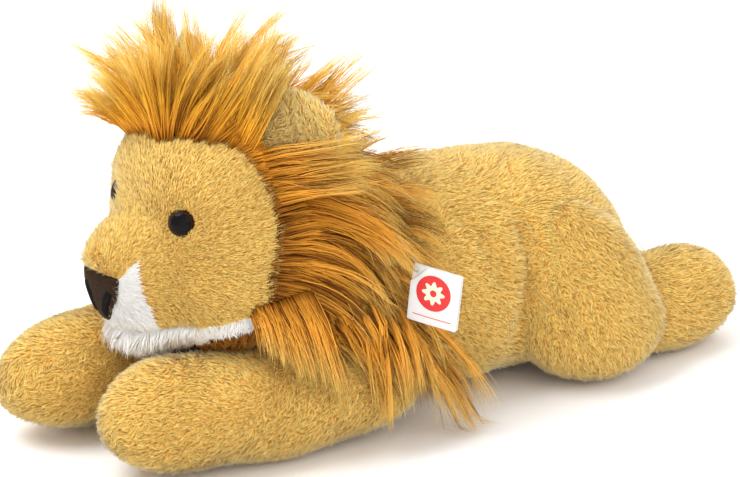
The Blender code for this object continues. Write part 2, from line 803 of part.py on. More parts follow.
def make_eye(side, looks, face, filling):
    place, outward = head_place(side * EYE_X, EYE_Z)
    profile = [(0, -EYE_SHANK_LENGTH), (EYE_SHANK_RADIUS, -EYE_SHANK_LENGTH), (EYE_SHANK_RADIUS, GAP)]
    for step in range(DOME_STEPS):
        angle = math.pi / 2 * step / DOME_STEPS
        profile.append((EYE_RADIUS * math.cos(angle), GAP + EYE_DOME * math.sin(angle)))
    profile.append((0, GAP + EYE_DOME))
    put_mesh(side_name("eye", side), *turned_profile(profile, place, outward, TURNED_SIDES), looks["eye"])
    hole = disc(place, outward, EYE_SHANK_RADIUS + GAP, -EYE_SHANK_LENGTH - GAP, EYE_DOME)
    hole = guide(side_name("eye_hole", side), hole)
    alter(face, hole)
    inner = WASHER_THICKNESS - WASHER_DEPTH
    washer = disc(place, outward, WASHER_RADIUS, -WASHER_DEPTH, inner)
    washer = put_mesh(side_name("eye_washer", side), *washer, looks["washer"])
    alter(washer, hole)
    pocket = disc(place, outward, WASHER_RADIUS + WASHER_ROOM, -EYE_SHANK_LENGTH - WASHER_ROOM, EYE_DOME)
    alter(filling, guide(side_name("eye_pocket", side), pocket))


def ear_hinge(side):
    """A point on the fold line of the ear, and its direction. Positive turns fold it forwards."""
    base, tip, across, _ = ear_frame(side)
    return base + (tip - base) * EAR_HINGE_SHARE, across


def make_ear(side, looks):
    ear = put_mesh(side_name("ear", side), *ear_form(side), looks["golden"])
    origin, axis = ear_hinge(side)
    for index, degrees in enumerate(steps_to(EAR_FOLD_DEGREES, SWING_STEPS)):
        seat = turned(head_form(GAP), origin, axis, -degrees)
        alter(ear, guide(side_name(f"ear_seat_{index}", side), seat))


def make_crest(looks, guides):
    crest = put_mesh("mane_crest", *crest_form(), looks["mane"])
    alter(crest, guide("crest_low", box((-FAR, -FAR, 0), (FAR, FAR, CREST_LOW_Z))))
    rise = math.tan(math.radians(HAIRLINE_RISE_DEGREES)) * FAR
    front = HAIRLINE_Y - FAR
    brow = [(HAIRLINE_Y, HAIRLINE_Z), (front, HAIRLINE_Z + rise), (front, 0), (HAIRLINE_Y, 0)]
    alter(crest, guide("hairline", prism(brow, -FAR, FAR, 0)))
    alter(crest, guide("crest_rear", rear_sector(MANE_SPLIT_DEGREES)))
    alter(crest, guides["head"])
    alter(crest, guides["ear_room_left"])
    alter(crest, guides["ear_room_right"])


def rear_sector(degrees):
    """Everything behind a plane through the nod axis that rises to the rear at this angle."""
    angle = math.radians(degrees)
    tip = (NOD_Y + FAR * math.cos(angle), NOD_Z + FAR * math.sin(angle))
    return prism([(NOD_Y, NOD_Z), tip, (tip[0], 0), (NOD_Y, 0)], -FAR, FAR, 0)


def crest_room():
    """The space above the cheeks and ahead of the cape that the nodding crest turns through."""
    angle = math.radians(MANE_SPLIT_DEGREES - NOD_DEGREES - SPLIT_SLACK_DEGREES)
    low = MANE_CHEEK_TOP_Z
    corner = (NOD_Y + (low - NOD_Z) / math.tan(angle), low)
    tip = (NOD_Y + FAR * math.cos(angle), NOD_Z + FAR * math.sin(angle))
    return prism([corner, tip, (-FAR, tip[1]), (-FAR, low)], -FAR, FAR, 0)


def make_mane(looks, guides):
    """Curtains at both sides and a cape between them, cut out of one mane of hair."""
    crest = guide("crest_room", crest_room())
    front = guide("mane_front", box((-FAR, -FAR, -FAR), (FAR, MANE_FRONT_Y, FAR)))
    seam = CAPE_HALF_WIDTH
    left = (front, guides["leg_room_left"], guides["ear_room_left"])
    right = (front, guides["leg_room_right"], guides["ear_room_right"])
    regions = (
        ("mane_left", box((seam + GAP, -FAR, 0), (FAR, FAR, FAR)), left),
        ("mane_right", box((-FAR, -FAR, 0), (-seam - GAP, FAR, FAR)), right),
        ("mane_cape", box((-seam, NOD_Y, CAPE_LOW_Z), (seam, FAR, FAR)), ()),
    )
    for name, region, more in regions:
        piece = put_mesh(name, *mane_form(), looks["mane"])
        alter(piece, guide(name + "_region", region), "INTERSECT")
        for cutter in (crest, guides["torso"], guides["nod"], *more):
            alter(piece, cutter)


def make_front_leg(side, looks, guides):
    skin = put_mesh(side_name("front_leg_skin", side), *front_leg_form(side), looks["golden"])
    hollow_form = front_leg_form(side, -SKIN, INNER_RINGS, INNER_SIDES)
    hollow = guide(side_name("front_leg_hollow", side), hollow_form)
    filling_form = front_leg_form(side, -SKIN - GAP, INNER_RINGS, INNER_SIDES)
    filling = put_mesh(side_name("front_leg_filling", side), *filling_form, looks["filling"])
    dent = guide(side_name("leg_dent", side), head_sweep(RUNNING_GAP, side))
    alter(hollow, guide(side_name("leg_hollow_dent", side), head_sweep(RUNNING_GAP + SKIN, side)))
    alter(filling, guide(side_name("leg_filling_dent", side), head_sweep(RUNNING_GAP + SKIN + GAP, side)))
    alter(skin, hollow)
    for index, degrees in enumerate(steps_to(FRONT_SPLAY_DEGREES, SWING_STEPS)):
        seat = splayed(torso_form(GAP), front_pivot(side), side, -degrees)
        seat = guide(side_name(f"front_seat_{index}", side), seat)
        alter(skin, seat)
        alter(filling, seat)
    alter(skin, dent)
    alter(skin, guides["floor"])


def make_hind_leg(side, looks, guides):
    thigh = put_mesh(side_name("thigh_skin", side), *thigh_form(side), looks["golden"])
    foot = put_mesh(side_name("foot_skin", side), *foot_form(side), looks["golden"])
    fillings = []
    for word, form, skin in (("thigh", thigh_form, thigh), ("foot", foot_form, foot)):
        alter(skin, guide(side_name(word + "_hollow", side), form(side, -SKIN, INNER_RINGS, INNER_SIDES)))
        filling_form = form(side, -SKIN - GAP, INNER_RINGS, INNER_SIDES)
        fillings.append(put_mesh(side_name(word + "_filling", side), *filling_form, looks["filling"]))
    for index, degrees in enumerate(steps_to(HIND_SPLAY_DEGREES, SWING_STEPS)):
        seat = splayed(torso_form(GAP), hind_pivot(side), side, degrees)
        seat = guide(side_name(f"hind_seat_{index}", side), seat)
        for piece in (thigh, foot, *fillings):
            alter(piece, seat)
    beside = guide(side_name("thigh_room", side), thigh_form(side, GAP))
    alter(foot, beside)
    alter(fillings[1], beside)
    alter(thigh, guides["floor"])
    alter(foot, guides["floor"])


def tail_pivot():
    """Centre of the tail's round base, so far behind the rump that the base just clears it."""
    points, faces = torso_form()
    rump = BVHTree.FromPolygons([tuple(point) for point in points], faces)
    near = TORSO_REAR_Y - TAIL_RADIUS
    far = TORSO_REAR_Y + TORSO_HALF_WIDTH
    for _ in range(RAY_HALVINGS):
        middle = (near + far) / 2
        distance = rump.find_nearest((0, middle, TAIL_BASE_Z))[3]
        near, far = (near, middle) if distance > TAIL_RADIUS + GAP else (middle, far)
    return np.array([0, far, TAIL_BASE_Z])


def tail_rings(grow=0.0):
    rest_z = TAIL_RADIUS - FLAT_DEPTH
    places = [
        tail_pivot(),
        (0, TAIL_DROP_Y, TAIL_DROP_Z),
        (0, TAIL_FLOOR_Y, rest_z + TAIL_ARCH),
        (TAIL_BEND_X, TAIL_BEND_Y, rest_z),
        (TAIL_LIE_X, TAIL_LIE_Y, rest_z),
    ]
    path = smooth_path(places, TAIL_POINTS)
    return tube(path, np.full(len(path), TAIL_RADIUS + grow), TAIL_SIDES)


def tail_form(grow=0.0):
    rings, tangent = tail_rings(grow)
    middle = rings.mean(axis=1)
    radius = TAIL_RADIUS + grow
    first, last = middle[0] - tangent[0] * radius, middle[-1] + tangent[-1] * radius
    start = middle[0] - (middle[0] - first) / 2 + (rings[0] - middle[0]) * CAP_SHARE
    end = middle[-1] + (last - middle[-1]) / 2 + (rings[-1] - middle[-1]) * CAP_SHARE
    return closed_rings(np.concatenate([[start], rings, [end]]), first, last)


def make_tail(looks, guides):
    tail = put_mesh("tail", *tail_form(), looks["golden"])
    alter(tail, guides["floor"])

    def spine(along):
        x = TAIL_LIE_X + (TASSEL_X - TAIL_LIE_X) * along
        return np.stack([x, TAIL_LIE_Y + 0 * along, TASSEL_RADIUS - FLAT_DEPTH + 0 * along], -1)

    def radius(along):
        return TASSEL_RADIUS + 0 * along

    form = loft(spine, (0, 1, 0), (0, 0, 1), radius, radius, TASSEL_BLUNT, 0, TASSEL_POINTS, TAIL_SIDES)
    tassel = put_mesh("tail_tassel", *form, looks["mane"])
    alter(tassel, guide("tail_room", tail_form(GAP)))
    alter(tassel, guides["floor"])


def tag_frame():
    """Centre of the tag, its directions across and up, and the direction that it faces."""
    turn, roll = math.radians(TAG_TURN_DEGREES), math.radians(TAG_ROLL_DEGREES)
    level = np.array([math.cos(turn), math.sin(turn), 0])
    facing = np.array([math.sin(turn), -math.cos(turn), 0])
    across = level * math.cos(roll) - np.array([0, 0, 1]) * math.sin(roll)
    return np.array([TAG_CENTRE_X, TAG_CENTRE_Y, TAG_CENTRE_Z]), across, np.cross(facing, across), facing


def tag_place(across_by, up_by, out_by):
    centre, across, up, facing = tag_frame()
    return centre + across * across_by + up * up_by + facing * out_by


def tag_leaf(name, back, front, clip, finish):
    """One leaf of the tag. Its top corner at the fold is clipped off by the given length."""
    half, tall = TAG_WIDTH / 2, TAG_HEIGHT / 2
    corners = [(-half, -tall), (half, -tall), (half, tall), (-half + clip, tall), (-half, tall - clip)]
    points = [tag_place(x, z, out) for out in (back, front) for x, z in corners]
    faces = prism(corners, 0, 1, 1)[1]
    return put_mesh(name, np.array(points), faces, finish)


def tag_corners(back, front, grow):
    half, tall = TAG_WIDTH / 2 + grow, TAG_HEIGHT / 2 + grow
    levels = (back - grow, front + grow)
    return np.array([tag_place(x, z, out) for x in (-half, half) for z in (-tall, tall) for out in levels])


def tag_room(grow):
    """The space of the tag while it swings about its hole and its cover opens, as one convex form."""
    _, _, up, facing = tag_frame()
    cover = (tag_corners(GAP, GAP + TAG_COVER, grow), None)
    steps = steps_to(TAG_OPEN_DEGREES, SWING_STEPS)
    opened = [turned(cover, tag_fold(), -up, degrees)[0] for degrees in steps]
    corners = np.concatenate([tag_corners(-TAG_BOOK, 0, grow), *opened])
    origin = tag_place(*tag_hole(), 0)
    places = [turned((corners, None), origin, facing, degrees)[0] for degrees in tag_swings()]
    hull = bmesh.new()
    for place in np.concatenate(places):
        hull.verts.new(place)
    bmesh.ops.convex_hull(hull, input=hull.verts)
    loose = [vert for vert in hull.verts if not vert.link_faces]
    bmesh.ops.delete(hull, geom=loose, context="VERTS")
    hull.verts.index_update()
    points = [tuple(vert.co) for vert in hull.verts]
    faces = [[vert.index for vert in face.verts] for face in hull.faces]
    hull.free()
    return points, faces


def tag_swings():
    return np.linspace(-TAG_SWING_DEGREES, TAG_SWING_DEGREES, TAG_SWING_STEPS)


def tag_fold():
    """A point on the fold between the book and the cover."""
    return tag_place(-TAG_WIDTH / 2, 0, GAP)


def tag_hole():
    return TAG_HOLE_INSET - TAG_WIDTH / 2, TAG_HEIGHT / 2 - TAG_HOLE_INSET


def make_tag(looks):
    _, across, up, facing = tag_frame()
    hole_place = tag_place(*tag_hole(), 0)
    reach = TAG_BOOK + TAG_COVER + OVERRUN
    hole = guide("tag_hole", disc(hole_place, facing, TAG_HOLE_RADIUS, -reach, reach))
    alter(bpy.data.objects["mane_left"], guide("tag_room", tag_room(RUNNING_GAP)))
    book = tag_leaf("tag_book", -TAG_BOOK, 0, TAG_BOOK_CLIP, looks["card"])
    alter(book, hole)
    tag_leaf("tag_cover", GAP, GAP + TAG_COVER, TAG_COVER_CLIP, looks["card"])
    away = (up - across) / np.linalg.norm(up - across)
    ring_centre = hole_place + away * LOOP_LENGTH
    turn = np.linspace(0, 2 * np.pi, LOOP_POINTS, endpoint=False)[:, None]
    along = np.sign(np.cos(turn)) * np.abs(np.cos(turn)) ** (2 / LOOP_BLUNT)
    aside = np.sign(np.sin(turn)) * np.abs(np.sin(turn)) ** (2 / LOOP_BLUNT)
    path = ring_centre - away * LOOP_LENGTH * along + facing * LOOP_HALF_WIDTH * aside
    flat = np.cross(away, facing)
    put_mesh("tag_loop", *ring_tube(path, LOOP_RADIUS, flat), looks["washer"])
    alter(bpy.data.objects["mane_left"], guide("loop_room", ring_tube(path, LOOP_RADIUS + GAP, flat)))


def ring_tube(path, radius, flat_axis):
    """A closed tube round a closed path that lies in the plane square to flat_axis."""
    tangent = np.roll(path, -1, axis=0) - np.roll(path, 1, axis=0)
    tangent = tangent / np.linalg.norm(tangent, axis=1)[:, None]
    outward = np.cross(tangent, flat_axis)
    turn = np.linspace(0, 2 * np.pi, LOOP_SIDES, endpoint=False)[None, :, None]
    rings = path[:, None, :] + radius * (np.cos(turn) * outward[:, None, :] + np.sin(turn) * flat_axis)
    count = len(path)
    faces = []
    for ring in range(count):
        for side in range(LOOP_SIDES):
            after, next_ring = (side + 1) % LOOP_SIDES, (ring + 1) % count
            faces.append(
                (
                    ring * LOOP_SIDES + side,
                    ring * LOOP_SIDES + after,
                    next_ring * LOOP_SIDES + after,
                    next_ring * LOOP_SIDES + side,
                )
            )
    return rings.reshape(-1, 3), faces


FINISHES = {
    "golden": ((0.70, 0.42, 0.13), 0.95),
    "white": ((0.85, 0.83, 0.79), 0.95),
    "mane": ((0.52, 0.22, 0.04), 0.8),
    "brown": ((0.05, 0.03, 0.02), 0.9),
    "filling": ((0.8, 0.8, 0.8), 1.0),
    "eye": ((0.01, 0.008, 0.006), 0.05),
    "washer": ((0.8, 0.8, 0.78), 0.4),
    "card": ((0.9, 0.9, 0.88), 0.6),
}


def pivot(name, place, pieces, carrier=None):
    """An empty on a joint's axis. The pieces that turn with it are its children."""
    empty = bpy.data.objects.new("pivot_" + name, None)
    empty.empty_display_size = EYE_RADIUS
    empty.location = place
    bpy.context.scene.collection.objects.link(empty)
    bpy.context.view_layer.update()
    if carrier:
        hold(empty, carrier)
    for piece in pieces:
        hold(bpy.data.objects[piece], empty)
    return empty


def hold(child, carrier):
    """Parent a child without moving it."""
    child.parent = carrier
    child.matrix_parent_inverse = carrier.matrix_world.inverted()
    bpy.context.view_layer.update()


def both_sides(*words):
    return [side_name(word, side) for word in words for side in (1, -1)]


def make_pivots():
    """One pivot for each joint. The ears turn on the head, and the cover turns on the tag."""
    head_pieces = ["face_skin", "muzzle_panel", "chin_panel", "head_filling", "nose", "mane_crest"]
    head = pivot("head", (0, NOD_Y, NOD_Z), head_pieces + both_sides("eye", "eye_washer"))
    for side in (1, -1):
        pivot(side_name("ear", side), ear_hinge(side)[0], [side_name("ear", side)], head)
        front = [side_name("front_leg_" + layer, side) for layer in ("skin", "filling")]
        words = ("thigh_skin", "thigh_filling", "foot_skin", "foot_filling")
        hind = [side_name(word, side) for word in words]
        pivot(side_name("front_leg", side), front_pivot(side), front)
        pivot(side_name("hind_leg", side), hind_pivot(side), hind)
    pivot("tail", tail_pivot(), ["tail", "tail_tassel"])
    tag = pivot("tag", tag_place(*tag_hole(), 0), ["tag_book"])
    pivot("tag_cover", tag_fold(), ["tag_cover"], tag)


def main():
    clear_scene()
    looks = {name: material(name, *values) for name, values in FINISHES.items()}
    guides = make_guides()
    make_torso(looks, guides)
    face, filling = make_head(looks, guides)
    make_nose(looks)
    make_crest(looks, guides)
    make_mane(looks, guides)
    for side in (1, -1):
        make_eye(side, looks, face, filling)
        make_ear(side, looks)
        make_front_leg(side, looks, guides)
        make_hind_leg(side, looks, guides)
    make_tail(looks, guides)
    make_tag(looks)
    make_pivots()


if __name__ == "__main__":
    main()
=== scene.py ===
# %% [markdown]
# # A plush lion, dressed round its frame
# The frame holds the sewn pieces as plain solids. This file gives each one its cloth: a
# padded skin that swells between its seams, and on it the pile, as many small closed
# spikes that stand out of the cloth. The long mane is made of locks, and each lock of
# tapered strands. Every shape is worked out with whole numpy arrays.

import bpy
import numpy as np
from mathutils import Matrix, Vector


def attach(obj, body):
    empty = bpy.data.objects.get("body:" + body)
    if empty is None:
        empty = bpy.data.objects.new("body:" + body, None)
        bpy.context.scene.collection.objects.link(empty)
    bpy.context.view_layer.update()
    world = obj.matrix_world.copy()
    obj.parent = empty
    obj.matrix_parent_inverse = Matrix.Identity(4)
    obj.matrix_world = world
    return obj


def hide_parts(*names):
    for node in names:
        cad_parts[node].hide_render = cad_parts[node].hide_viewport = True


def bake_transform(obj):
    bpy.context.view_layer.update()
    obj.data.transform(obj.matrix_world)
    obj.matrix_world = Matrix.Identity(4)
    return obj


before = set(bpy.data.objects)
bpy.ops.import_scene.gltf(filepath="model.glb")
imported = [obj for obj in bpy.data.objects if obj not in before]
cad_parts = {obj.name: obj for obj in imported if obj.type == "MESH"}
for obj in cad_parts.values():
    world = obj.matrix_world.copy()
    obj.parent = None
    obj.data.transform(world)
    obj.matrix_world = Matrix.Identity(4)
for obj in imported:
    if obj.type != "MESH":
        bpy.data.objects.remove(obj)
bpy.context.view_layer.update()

MM = 0.001
LEFT, RIGHT = 1, -1
SIDES = (LEFT, RIGHT)
UP = np.array([0.0, 0, 1])
rng = np.random.default_rng(11)


def side_name(word, side):
    return word + ("_left" if side == LEFT else "_right")


def mm(*values):
    """Lengths or places given in millimetres, as an array in metres."""
    return np.array(values) * MM


# %% [markdown]
# ## Camera, light and floor
# The photo was taken from the front left, a little above the toy, with a long lens. The
# camera stands on a line through the toy at that angle and looks back along it. The
# light is plain: a pale world, four soft lamps and the light off the pale floor, so that a
# colour renders about as it is written.

# %% Objects and nodes
def add_object(name, data):
    obj = bpy.data.objects.new(name, data)
    bpy.context.scene.collection.objects.link(obj)
    return obj


def aim(obj, place, target):
    obj.location = place
    obj.rotation_euler = Vector(target - place).to_track_quat("-Z", "Y").to_euler()


def linked(tree, kind, inputs, **settings):
    """A new node with these settings. Each input is another node's output, or a plain value."""
    node = tree.nodes.new("ShaderNode" + kind)
    for key, value in settings.items():
        setattr(node, key, value)
    for socket, source in inputs.items():
        if isinstance(source, bpy.types.NodeSocket):
            tree.links.new(source, node.inputs[socket])
        else:
            node.inputs[socket].default_value = source
    return node


def new_finish(name, **values):
    """A material, its node tree and its shader, whose sockets are named with _ for a space."""
    made = bpy.data.materials.new(name)
    made.use_nodes = True
    shader = made.node_tree.nodes["Principled BSDF"]
    for socket, value in values.items():
        shader.inputs[socket.replace("_", " ")].default_value = value
    return made, made.node_tree, shader


# %% Camera
CAMERA_TURN, CAMERA_RISE = np.radians(57), np.radians(21)
CAMERA_DISTANCE = 2200 * MM
CAMERA_TARGET = mm(2, 3.2, 102.4)


def view_back(turn, rise):
    """Unit direction from the toy to a viewer: turned from the front, then raised."""
    return np.array([np.sin(turn) * np.cos(rise), -np.cos(turn) * np.cos(rise), np.sin(rise)])


lens = bpy.data.cameras.new("camera")
lens.lens, lens.sensor_width = 170.2, 36
camera = add_object("camera", lens)
aim(camera, CAMERA_TARGET + view_back(CAMERA_TURN, CAMERA_RISE) * CAMERA_DISTANCE, CAMERA_TARGET)
bpy.context.scene.camera = camera
print("camera at", [round(value, 3) for value in camera.location])

# %% Lamps, world and floor
LAMPS = (
    ("key_lamp", -10, 58, 1.6, 1.2, 21.0),
    ("fill_lamp", 100, 35, 1.8, 1.6, 8.5),
    ("low_lamp", 55, 10, 1.8, 1.6, 3.6),
    ("back_lamp", 215, 50, 1.8, 1.4, 9.0),
)
WORLD_LEVEL = 0.88
FLOOR_COLOUR = (0.96, 0.96, 0.96, 1)
FLOOR_HALF = 12.0


def make_lamps():
    """Round lamps, each by its turn and rise in degrees, its distance and size in metres and its watts."""
    for name, turn, rise, distance, size, power in LAMPS:
        lamp = bpy.data.lights.new(name, "AREA")
        lamp.shape, lamp.size, lamp.energy = "DISK", size, power
        place = CAMERA_TARGET + view_back(np.radians(turn), np.radians(rise)) * distance
        aim(add_object(name, lamp), place, CAMERA_TARGET)


def make_world():
    """An even pale world. What looks at it straight, or by way of a reflection, sees plain white."""
    world = bpy.data.worlds.new("pale_room")
    world.use_nodes = True
    tree = world.node_tree
    pale = tree.nodes["Background"]
    pale.inputs["Color"].default_value = (1, 1, 1, 1)
    pale.inputs["Strength"].default_value = WORLD_LEVEL
    path = linked(tree, "LightPath", {})
    seen = path.outputs["Is Camera Ray"]
    for kind in ("Is Glossy Ray", "Is Transmission Ray"):
        seen = linked(tree, "Math", {0: seen, 1: path.outputs[kind]}, operation="MAXIMUM").outputs[0]
    white = linked(tree, "Background", {"Color": (1, 1, 1, 1), "Strength": 1.0})
    mix = linked(tree, "MixShader", {0: seen, 1: pale.outputs[0], 2: white.outputs[0]})
    tree.links.new(mix.outputs[0], tree.nodes["World Output"].inputs[0])
    bpy.context.scene.world = world


def make_floor():
    mesh = bpy.data.meshes.new("floor")
    corners = [(x * FLOOR_HALF, y * FLOOR_HALF, 0) for x, y in ((-1, -1), (1, -1), (1, 1), (-1, 1))]
    mesh.from_pydata(corners, [], [(0, 1, 2, 3)])
    mesh.materials.append(new_finish("floor_paint", Base_Color=FLOOR_COLOUR, Roughness=0.9)[0])
    add_object("floor", mesh)


make_lamps()
make_world()
make_floor()
bpy.context.scene.view_settings.view_transform = "Standard"
print(len(LAMPS), "lamps")

# %% [markdown]
# ## Closed surfaces and their meshes
# A swollen piece of a soft toy is a tube of ellipses that closes to a point at each end.
# One function turns such rings into a closed mesh, and another finds the outward
# direction at each point, along which the cloth is pushed in at a seam and the pile
# stands out. A third puts the mesh into Blender, hangs it on the body it rides on where
# it has one, and hides the frame's solids that it stands for.


def unit(vectors):
    return vectors / np.maximum(np.linalg.norm(vectors, axis=-1, keepdims=True), 1e-12)


def smooth_share(value, low, high):
    """From 0 at low to 1 at high, level at both: s * s * (3 - 2 s) of the share s of the way."""
    share = np.clip((value - low) / (high - low), 0, 1)
    return share * share * (3 - 2 * share)


def full_turn(count):
    """Angles spaced evenly once round, without the last, which would be the first again."""
    return np.linspace(0, 2 * np.pi, count, endpoint=False)


def closed_rings(rings, first, last):
    """Points and triangles of a closed skin through rings, drawn to one point at each end.

    The triangles are turned over as a whole if they would enclose a negative volume.
    """
    count, sides = rings.shape[:2]
    points = np.concatenate([[first], rings.reshape(-1, 3), [last]])
    end = len(points) - 1
    side = np.arange(sides)
    after = (side + 1) % sides
    low = 1 + np.arange(count - 1)[:, None] * sides
    a, b, c, d = low + side, low + after, low + sides + after, low + sides + side
    body = np.concatenate([np.stack([a, b, c], -1).reshape(-1, 3), np.stack([a, c, d], -1).reshape(-1, 3)])
    start_cap = np.stack([0 * side, 1 + after, 1 + side], -1)
    end_cap = np.stack([end + 0 * side, end - sides + side, end - sides + after], -1)
    triangles = np.concatenate([start_cap, body, end_cap])
    a, b, c = (points[triangles[:, k]] for k in range(3))
    if np.einsum("ij,ij->i", a, np.cross(b, c)).sum() < 0:
        triangles = triangles[:, ::-1]
    return points, triangles


def point_normals(points, triangles):
    """Outward unit direction at each point: the area-weighted mean of its triangles'."""
    a, b, c = (points[triangles[:, k]] for k in range(3))
    flat = np.cross(b - a, c - a)
    total = np.zeros_like(points)
    for corner in range(3):
        np.add.at(total, triangles[:, corner], flat)
    return unit(total)


def put_piece(name, form, finishes, body, nodes=(), uv=None, facing=None, patch=None):
    """One named mesh object at the origin, hung on one body, or on none where two are given.

    uv is the tint map, facing the normals to shade by, and patch the finish of each triangle.
    """
    points, triangles = form
    mesh = bpy.data.meshes.new(name)
    mesh.vertices.add(len(points))
    mesh.vertices.foreach_set("co", np.asarray(points, dtype=np.float32).ravel())
    mesh.loops.add(triangles.size)
    mesh.loops.foreach_set("vertex_index", triangles.astype(np.int32).ravel())
    mesh.polygons.add(len(triangles))
    mesh.polygons.foreach_set("loop_start", np.arange(0, triangles.size, 3, dtype=np.int32))
    mesh.polygons.foreach_set("use_smooth", np.ones(len(triangles), dtype=bool))
    mesh.update(calc_edges=True)
    if uv is not None:
        mesh.uv_layers.new(name="OFBake").data.foreach_set("uv", uv[triangles.ravel()].astype(np.float32).ravel())
    if facing is not None:
        mesh.normals_split_custom_set_from_vertices(facing)
    for finish in finishes if isinstance(finishes, list) else [finishes]:
        mesh.materials.append(finish)
    if patch is not None:
        mesh.polygons.foreach_set("material_index", patch.astype(np.int32))
    obj = add_object(name, mesh)
    if isinstance(body, str):
        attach(obj, body)
    else:
        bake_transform(obj)
    if nodes:
        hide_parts(*nodes)
    return obj


# %% [markdown]
# ## The sewn forms
# Torso, legs, thighs and feet are ellipses carried along a line. Two tables of shares say
# how they swell and taper, and a power says how blunt the ends are. The same numbers
# give the skin and the test for whether a place lies inside, which is needed to keep
# pile out of the seams where two pieces meet.

# %% Forms along a line
FLAT_DEPTH = 0.5 * MM


def end_spaced(count):
    return (1 - np.cos(np.linspace(0, np.pi, count + 2)[1:-1])) / 2


def table_at(table, along):
    """Each column of a table of (share along, values...), read off at the shares along."""
    places, *columns = zip(*table)
    return [np.interp(along, places, column) for column in columns]


def make_form(spine, half_width, half_height, wide_shares, high_shares, blunt, low=0.0, top=0.0):
    """A form along its spine of (share, x, y) places: lying on the floor, or upright from low to top."""
    return {"upright": top > low, "spine": spine, "low": low, "top": top, "wide": half_width,
            "high": half_height, "wide_shares": wide_shares, "high_shares": high_shares, "blunt": blunt}


def middle_of(form, along):
    """Centre of the ellipse at each share along, and its half sizes, which the blunt ends close."""
    x, y = table_at(form["spine"], along)
    closing = (1 - np.abs(2 * along - 1) ** form["blunt"]) ** (1 / form["blunt"])
    wide, high = (form[word] * table_at(form[word + "_shares"], along)[0] for word in ("wide", "high"))
    z = form["low"] + (form["top"] - form["low"]) * along if form["upright"] else high - FLAT_DEPTH
    return np.stack([x, y, z], -1), wide * closing, high * closing


def form_skin(form, rings, sides, grow):
    """Ellipses at shares along the form; a point is centre + a cos(turn) across + b sin(turn) up."""
    along = end_spaced(rings)
    turn = full_turn(sides)[None, :, None]
    centre, wide, high = middle_of(form, along)
    ends = middle_of(form, np.array([0.0, 1.0]))[0]
    ahead = unit(ends[1] - ends[0])
    up = np.array([0.0, 1, 0]) if form["upright"] else UP
    centre = centre + (2 * along - 1)[:, None] * grow * ahead
    rings_at = (centre[:, None, :] + (wide + grow)[:, None, None] * np.cos(turn) * np.array([1.0, 0, 0])
                + (high + grow)[:, None, None] * np.sin(turn) * up)
    return closed_rings(rings_at, ends[0] - grow * ahead, ends[1] + grow * ahead)


def share_along(form, points):
    if form["upright"]:
        return (points[..., 2] - form["low"]) / (form["top"] - form["low"])
    start, end = form["spine"][0][2], form["spine"][-1][2]
    return (points[..., 1] - start) / (end - start)


def form_holds(form, points, grow=0.0):
    """Whether each point lies inside the form, grown by a length."""
    along = share_along(form, points)
    within = (along > 0) & (along < 1)
    centre, wide, high = middle_of(form, np.clip(along, 1e-4, 1 - 1e-4))
    away = points - centre
    rise = away[..., 1] if form["upright"] else away[..., 2]
    return within & ((away[..., 0] / (wide + grow)) ** 2 + (rise / (high + grow)) ** 2 < 1)


# %% The sizes of the sewn pieces
LEG_SHARES = ((0, 1.03), (0.2, 1.02), (0.5, 0.93), (0.8, 0.97), (1, 1.0))
THIGH_SHARES = ((0, 0.98), (0.3, 1.0), (0.6, 0.88), (1, 0.72))
FOOT_SHARES = ((0, 0.9), (0.5, 0.97), (1, 1.0))
PAW_TIP_Y = {LEFT: -212, RIGHT: -237}
FOOT_REAR_Y = {LEFT: 256, RIGHT: 232}


def spine(*places):
    """Even steps along (x, y) places given in millimetres."""
    return [(index / (len(places) - 1), x * MM, y * MM) for index, (x, y) in enumerate(places)]


TORSO = make_form(
    spine((0, -92), (0, 181)), 80 * MM, 73 * MM,
    ((0, 0.70), (0.25, 0.80), (0.45, 0.93), (0.62, 1.0), (0.85, 1.0), (1, 0.95)),
    ((0, 0.90), (0.25, 0.96), (0.5, 1.0), (0.7, 0.99), (0.88, 0.96), (1, 0.88)), 3.6,
)
FRONT_LEGS, THIGHS, FEET = {}, {}, {}
for side in SIDES:
    FRONT_LEGS[side] = make_form(spine((side * 42, PAW_TIP_Y[side]), (side * 62, -4)), 39 * MM, 39 * MM,
                                 LEG_SHARES, LEG_SHARES, 2.7)
    THIGHS[side] = make_form(spine((side * 60, 140), (side * 50, 114)), 46 * MM, 58 * MM,
                             THIGH_SHARES, THIGH_SHARES, 2.4, -FLAT_DEPTH, 122 * MM - FLAT_DEPTH)
    FEET[side] = make_form(spine((side * 47, 140), (side * 47, FOOT_REAR_Y[side])), 34 * MM, 35 * MM,
                           FOOT_SHARES, FOOT_SHARES, 2.5)
# The space of the hair at the sides and over the shoulders.
MANE = make_form(
    spine((0, 2), (0, -36), (0, -36)), 102 * MM, 82 * MM, ((0, 0.98), (0.4, 1.0), (0.75, 0.85), (1, 0.57)),
    ((0, 0.40), (0.3, 0.85), (0.6, 1.0), (1, 0.75)), 3.4, 8 * MM, 214 * MM,
)

# %% [markdown]
# ## The head
# The head is one bag stretched over five lumps of filling: skull, brow, cheeks, muzzle and
# jaw. In each direction from a point inside it, the skin lies as far out as the farthest
# lump reaches, and a small blend rounds the valleys between two lumps.

# %% Head form
NOD = mm(0, -104, 128)
HEAD_START = NOD - mm(0, 0, 13)
HEAD_BLEND = 8 * MM
HEAD_LUMPS = [(NOD + mm(*at), mm(*sizes), power) for at, sizes, power in (
    ((0, 0, 0), (73, 61, 61), 2), ((0, -12, 30), (61, 46, 47), 2.4), ((0, -6, -20), (73, 53, 43), 2.2),
    ((0, -42, -8), (31, 49, 34), 2.3), ((0, -31, -31), (34, 49, 33), 2.2))]
FAR = 400 * MM
HALVINGS = 20


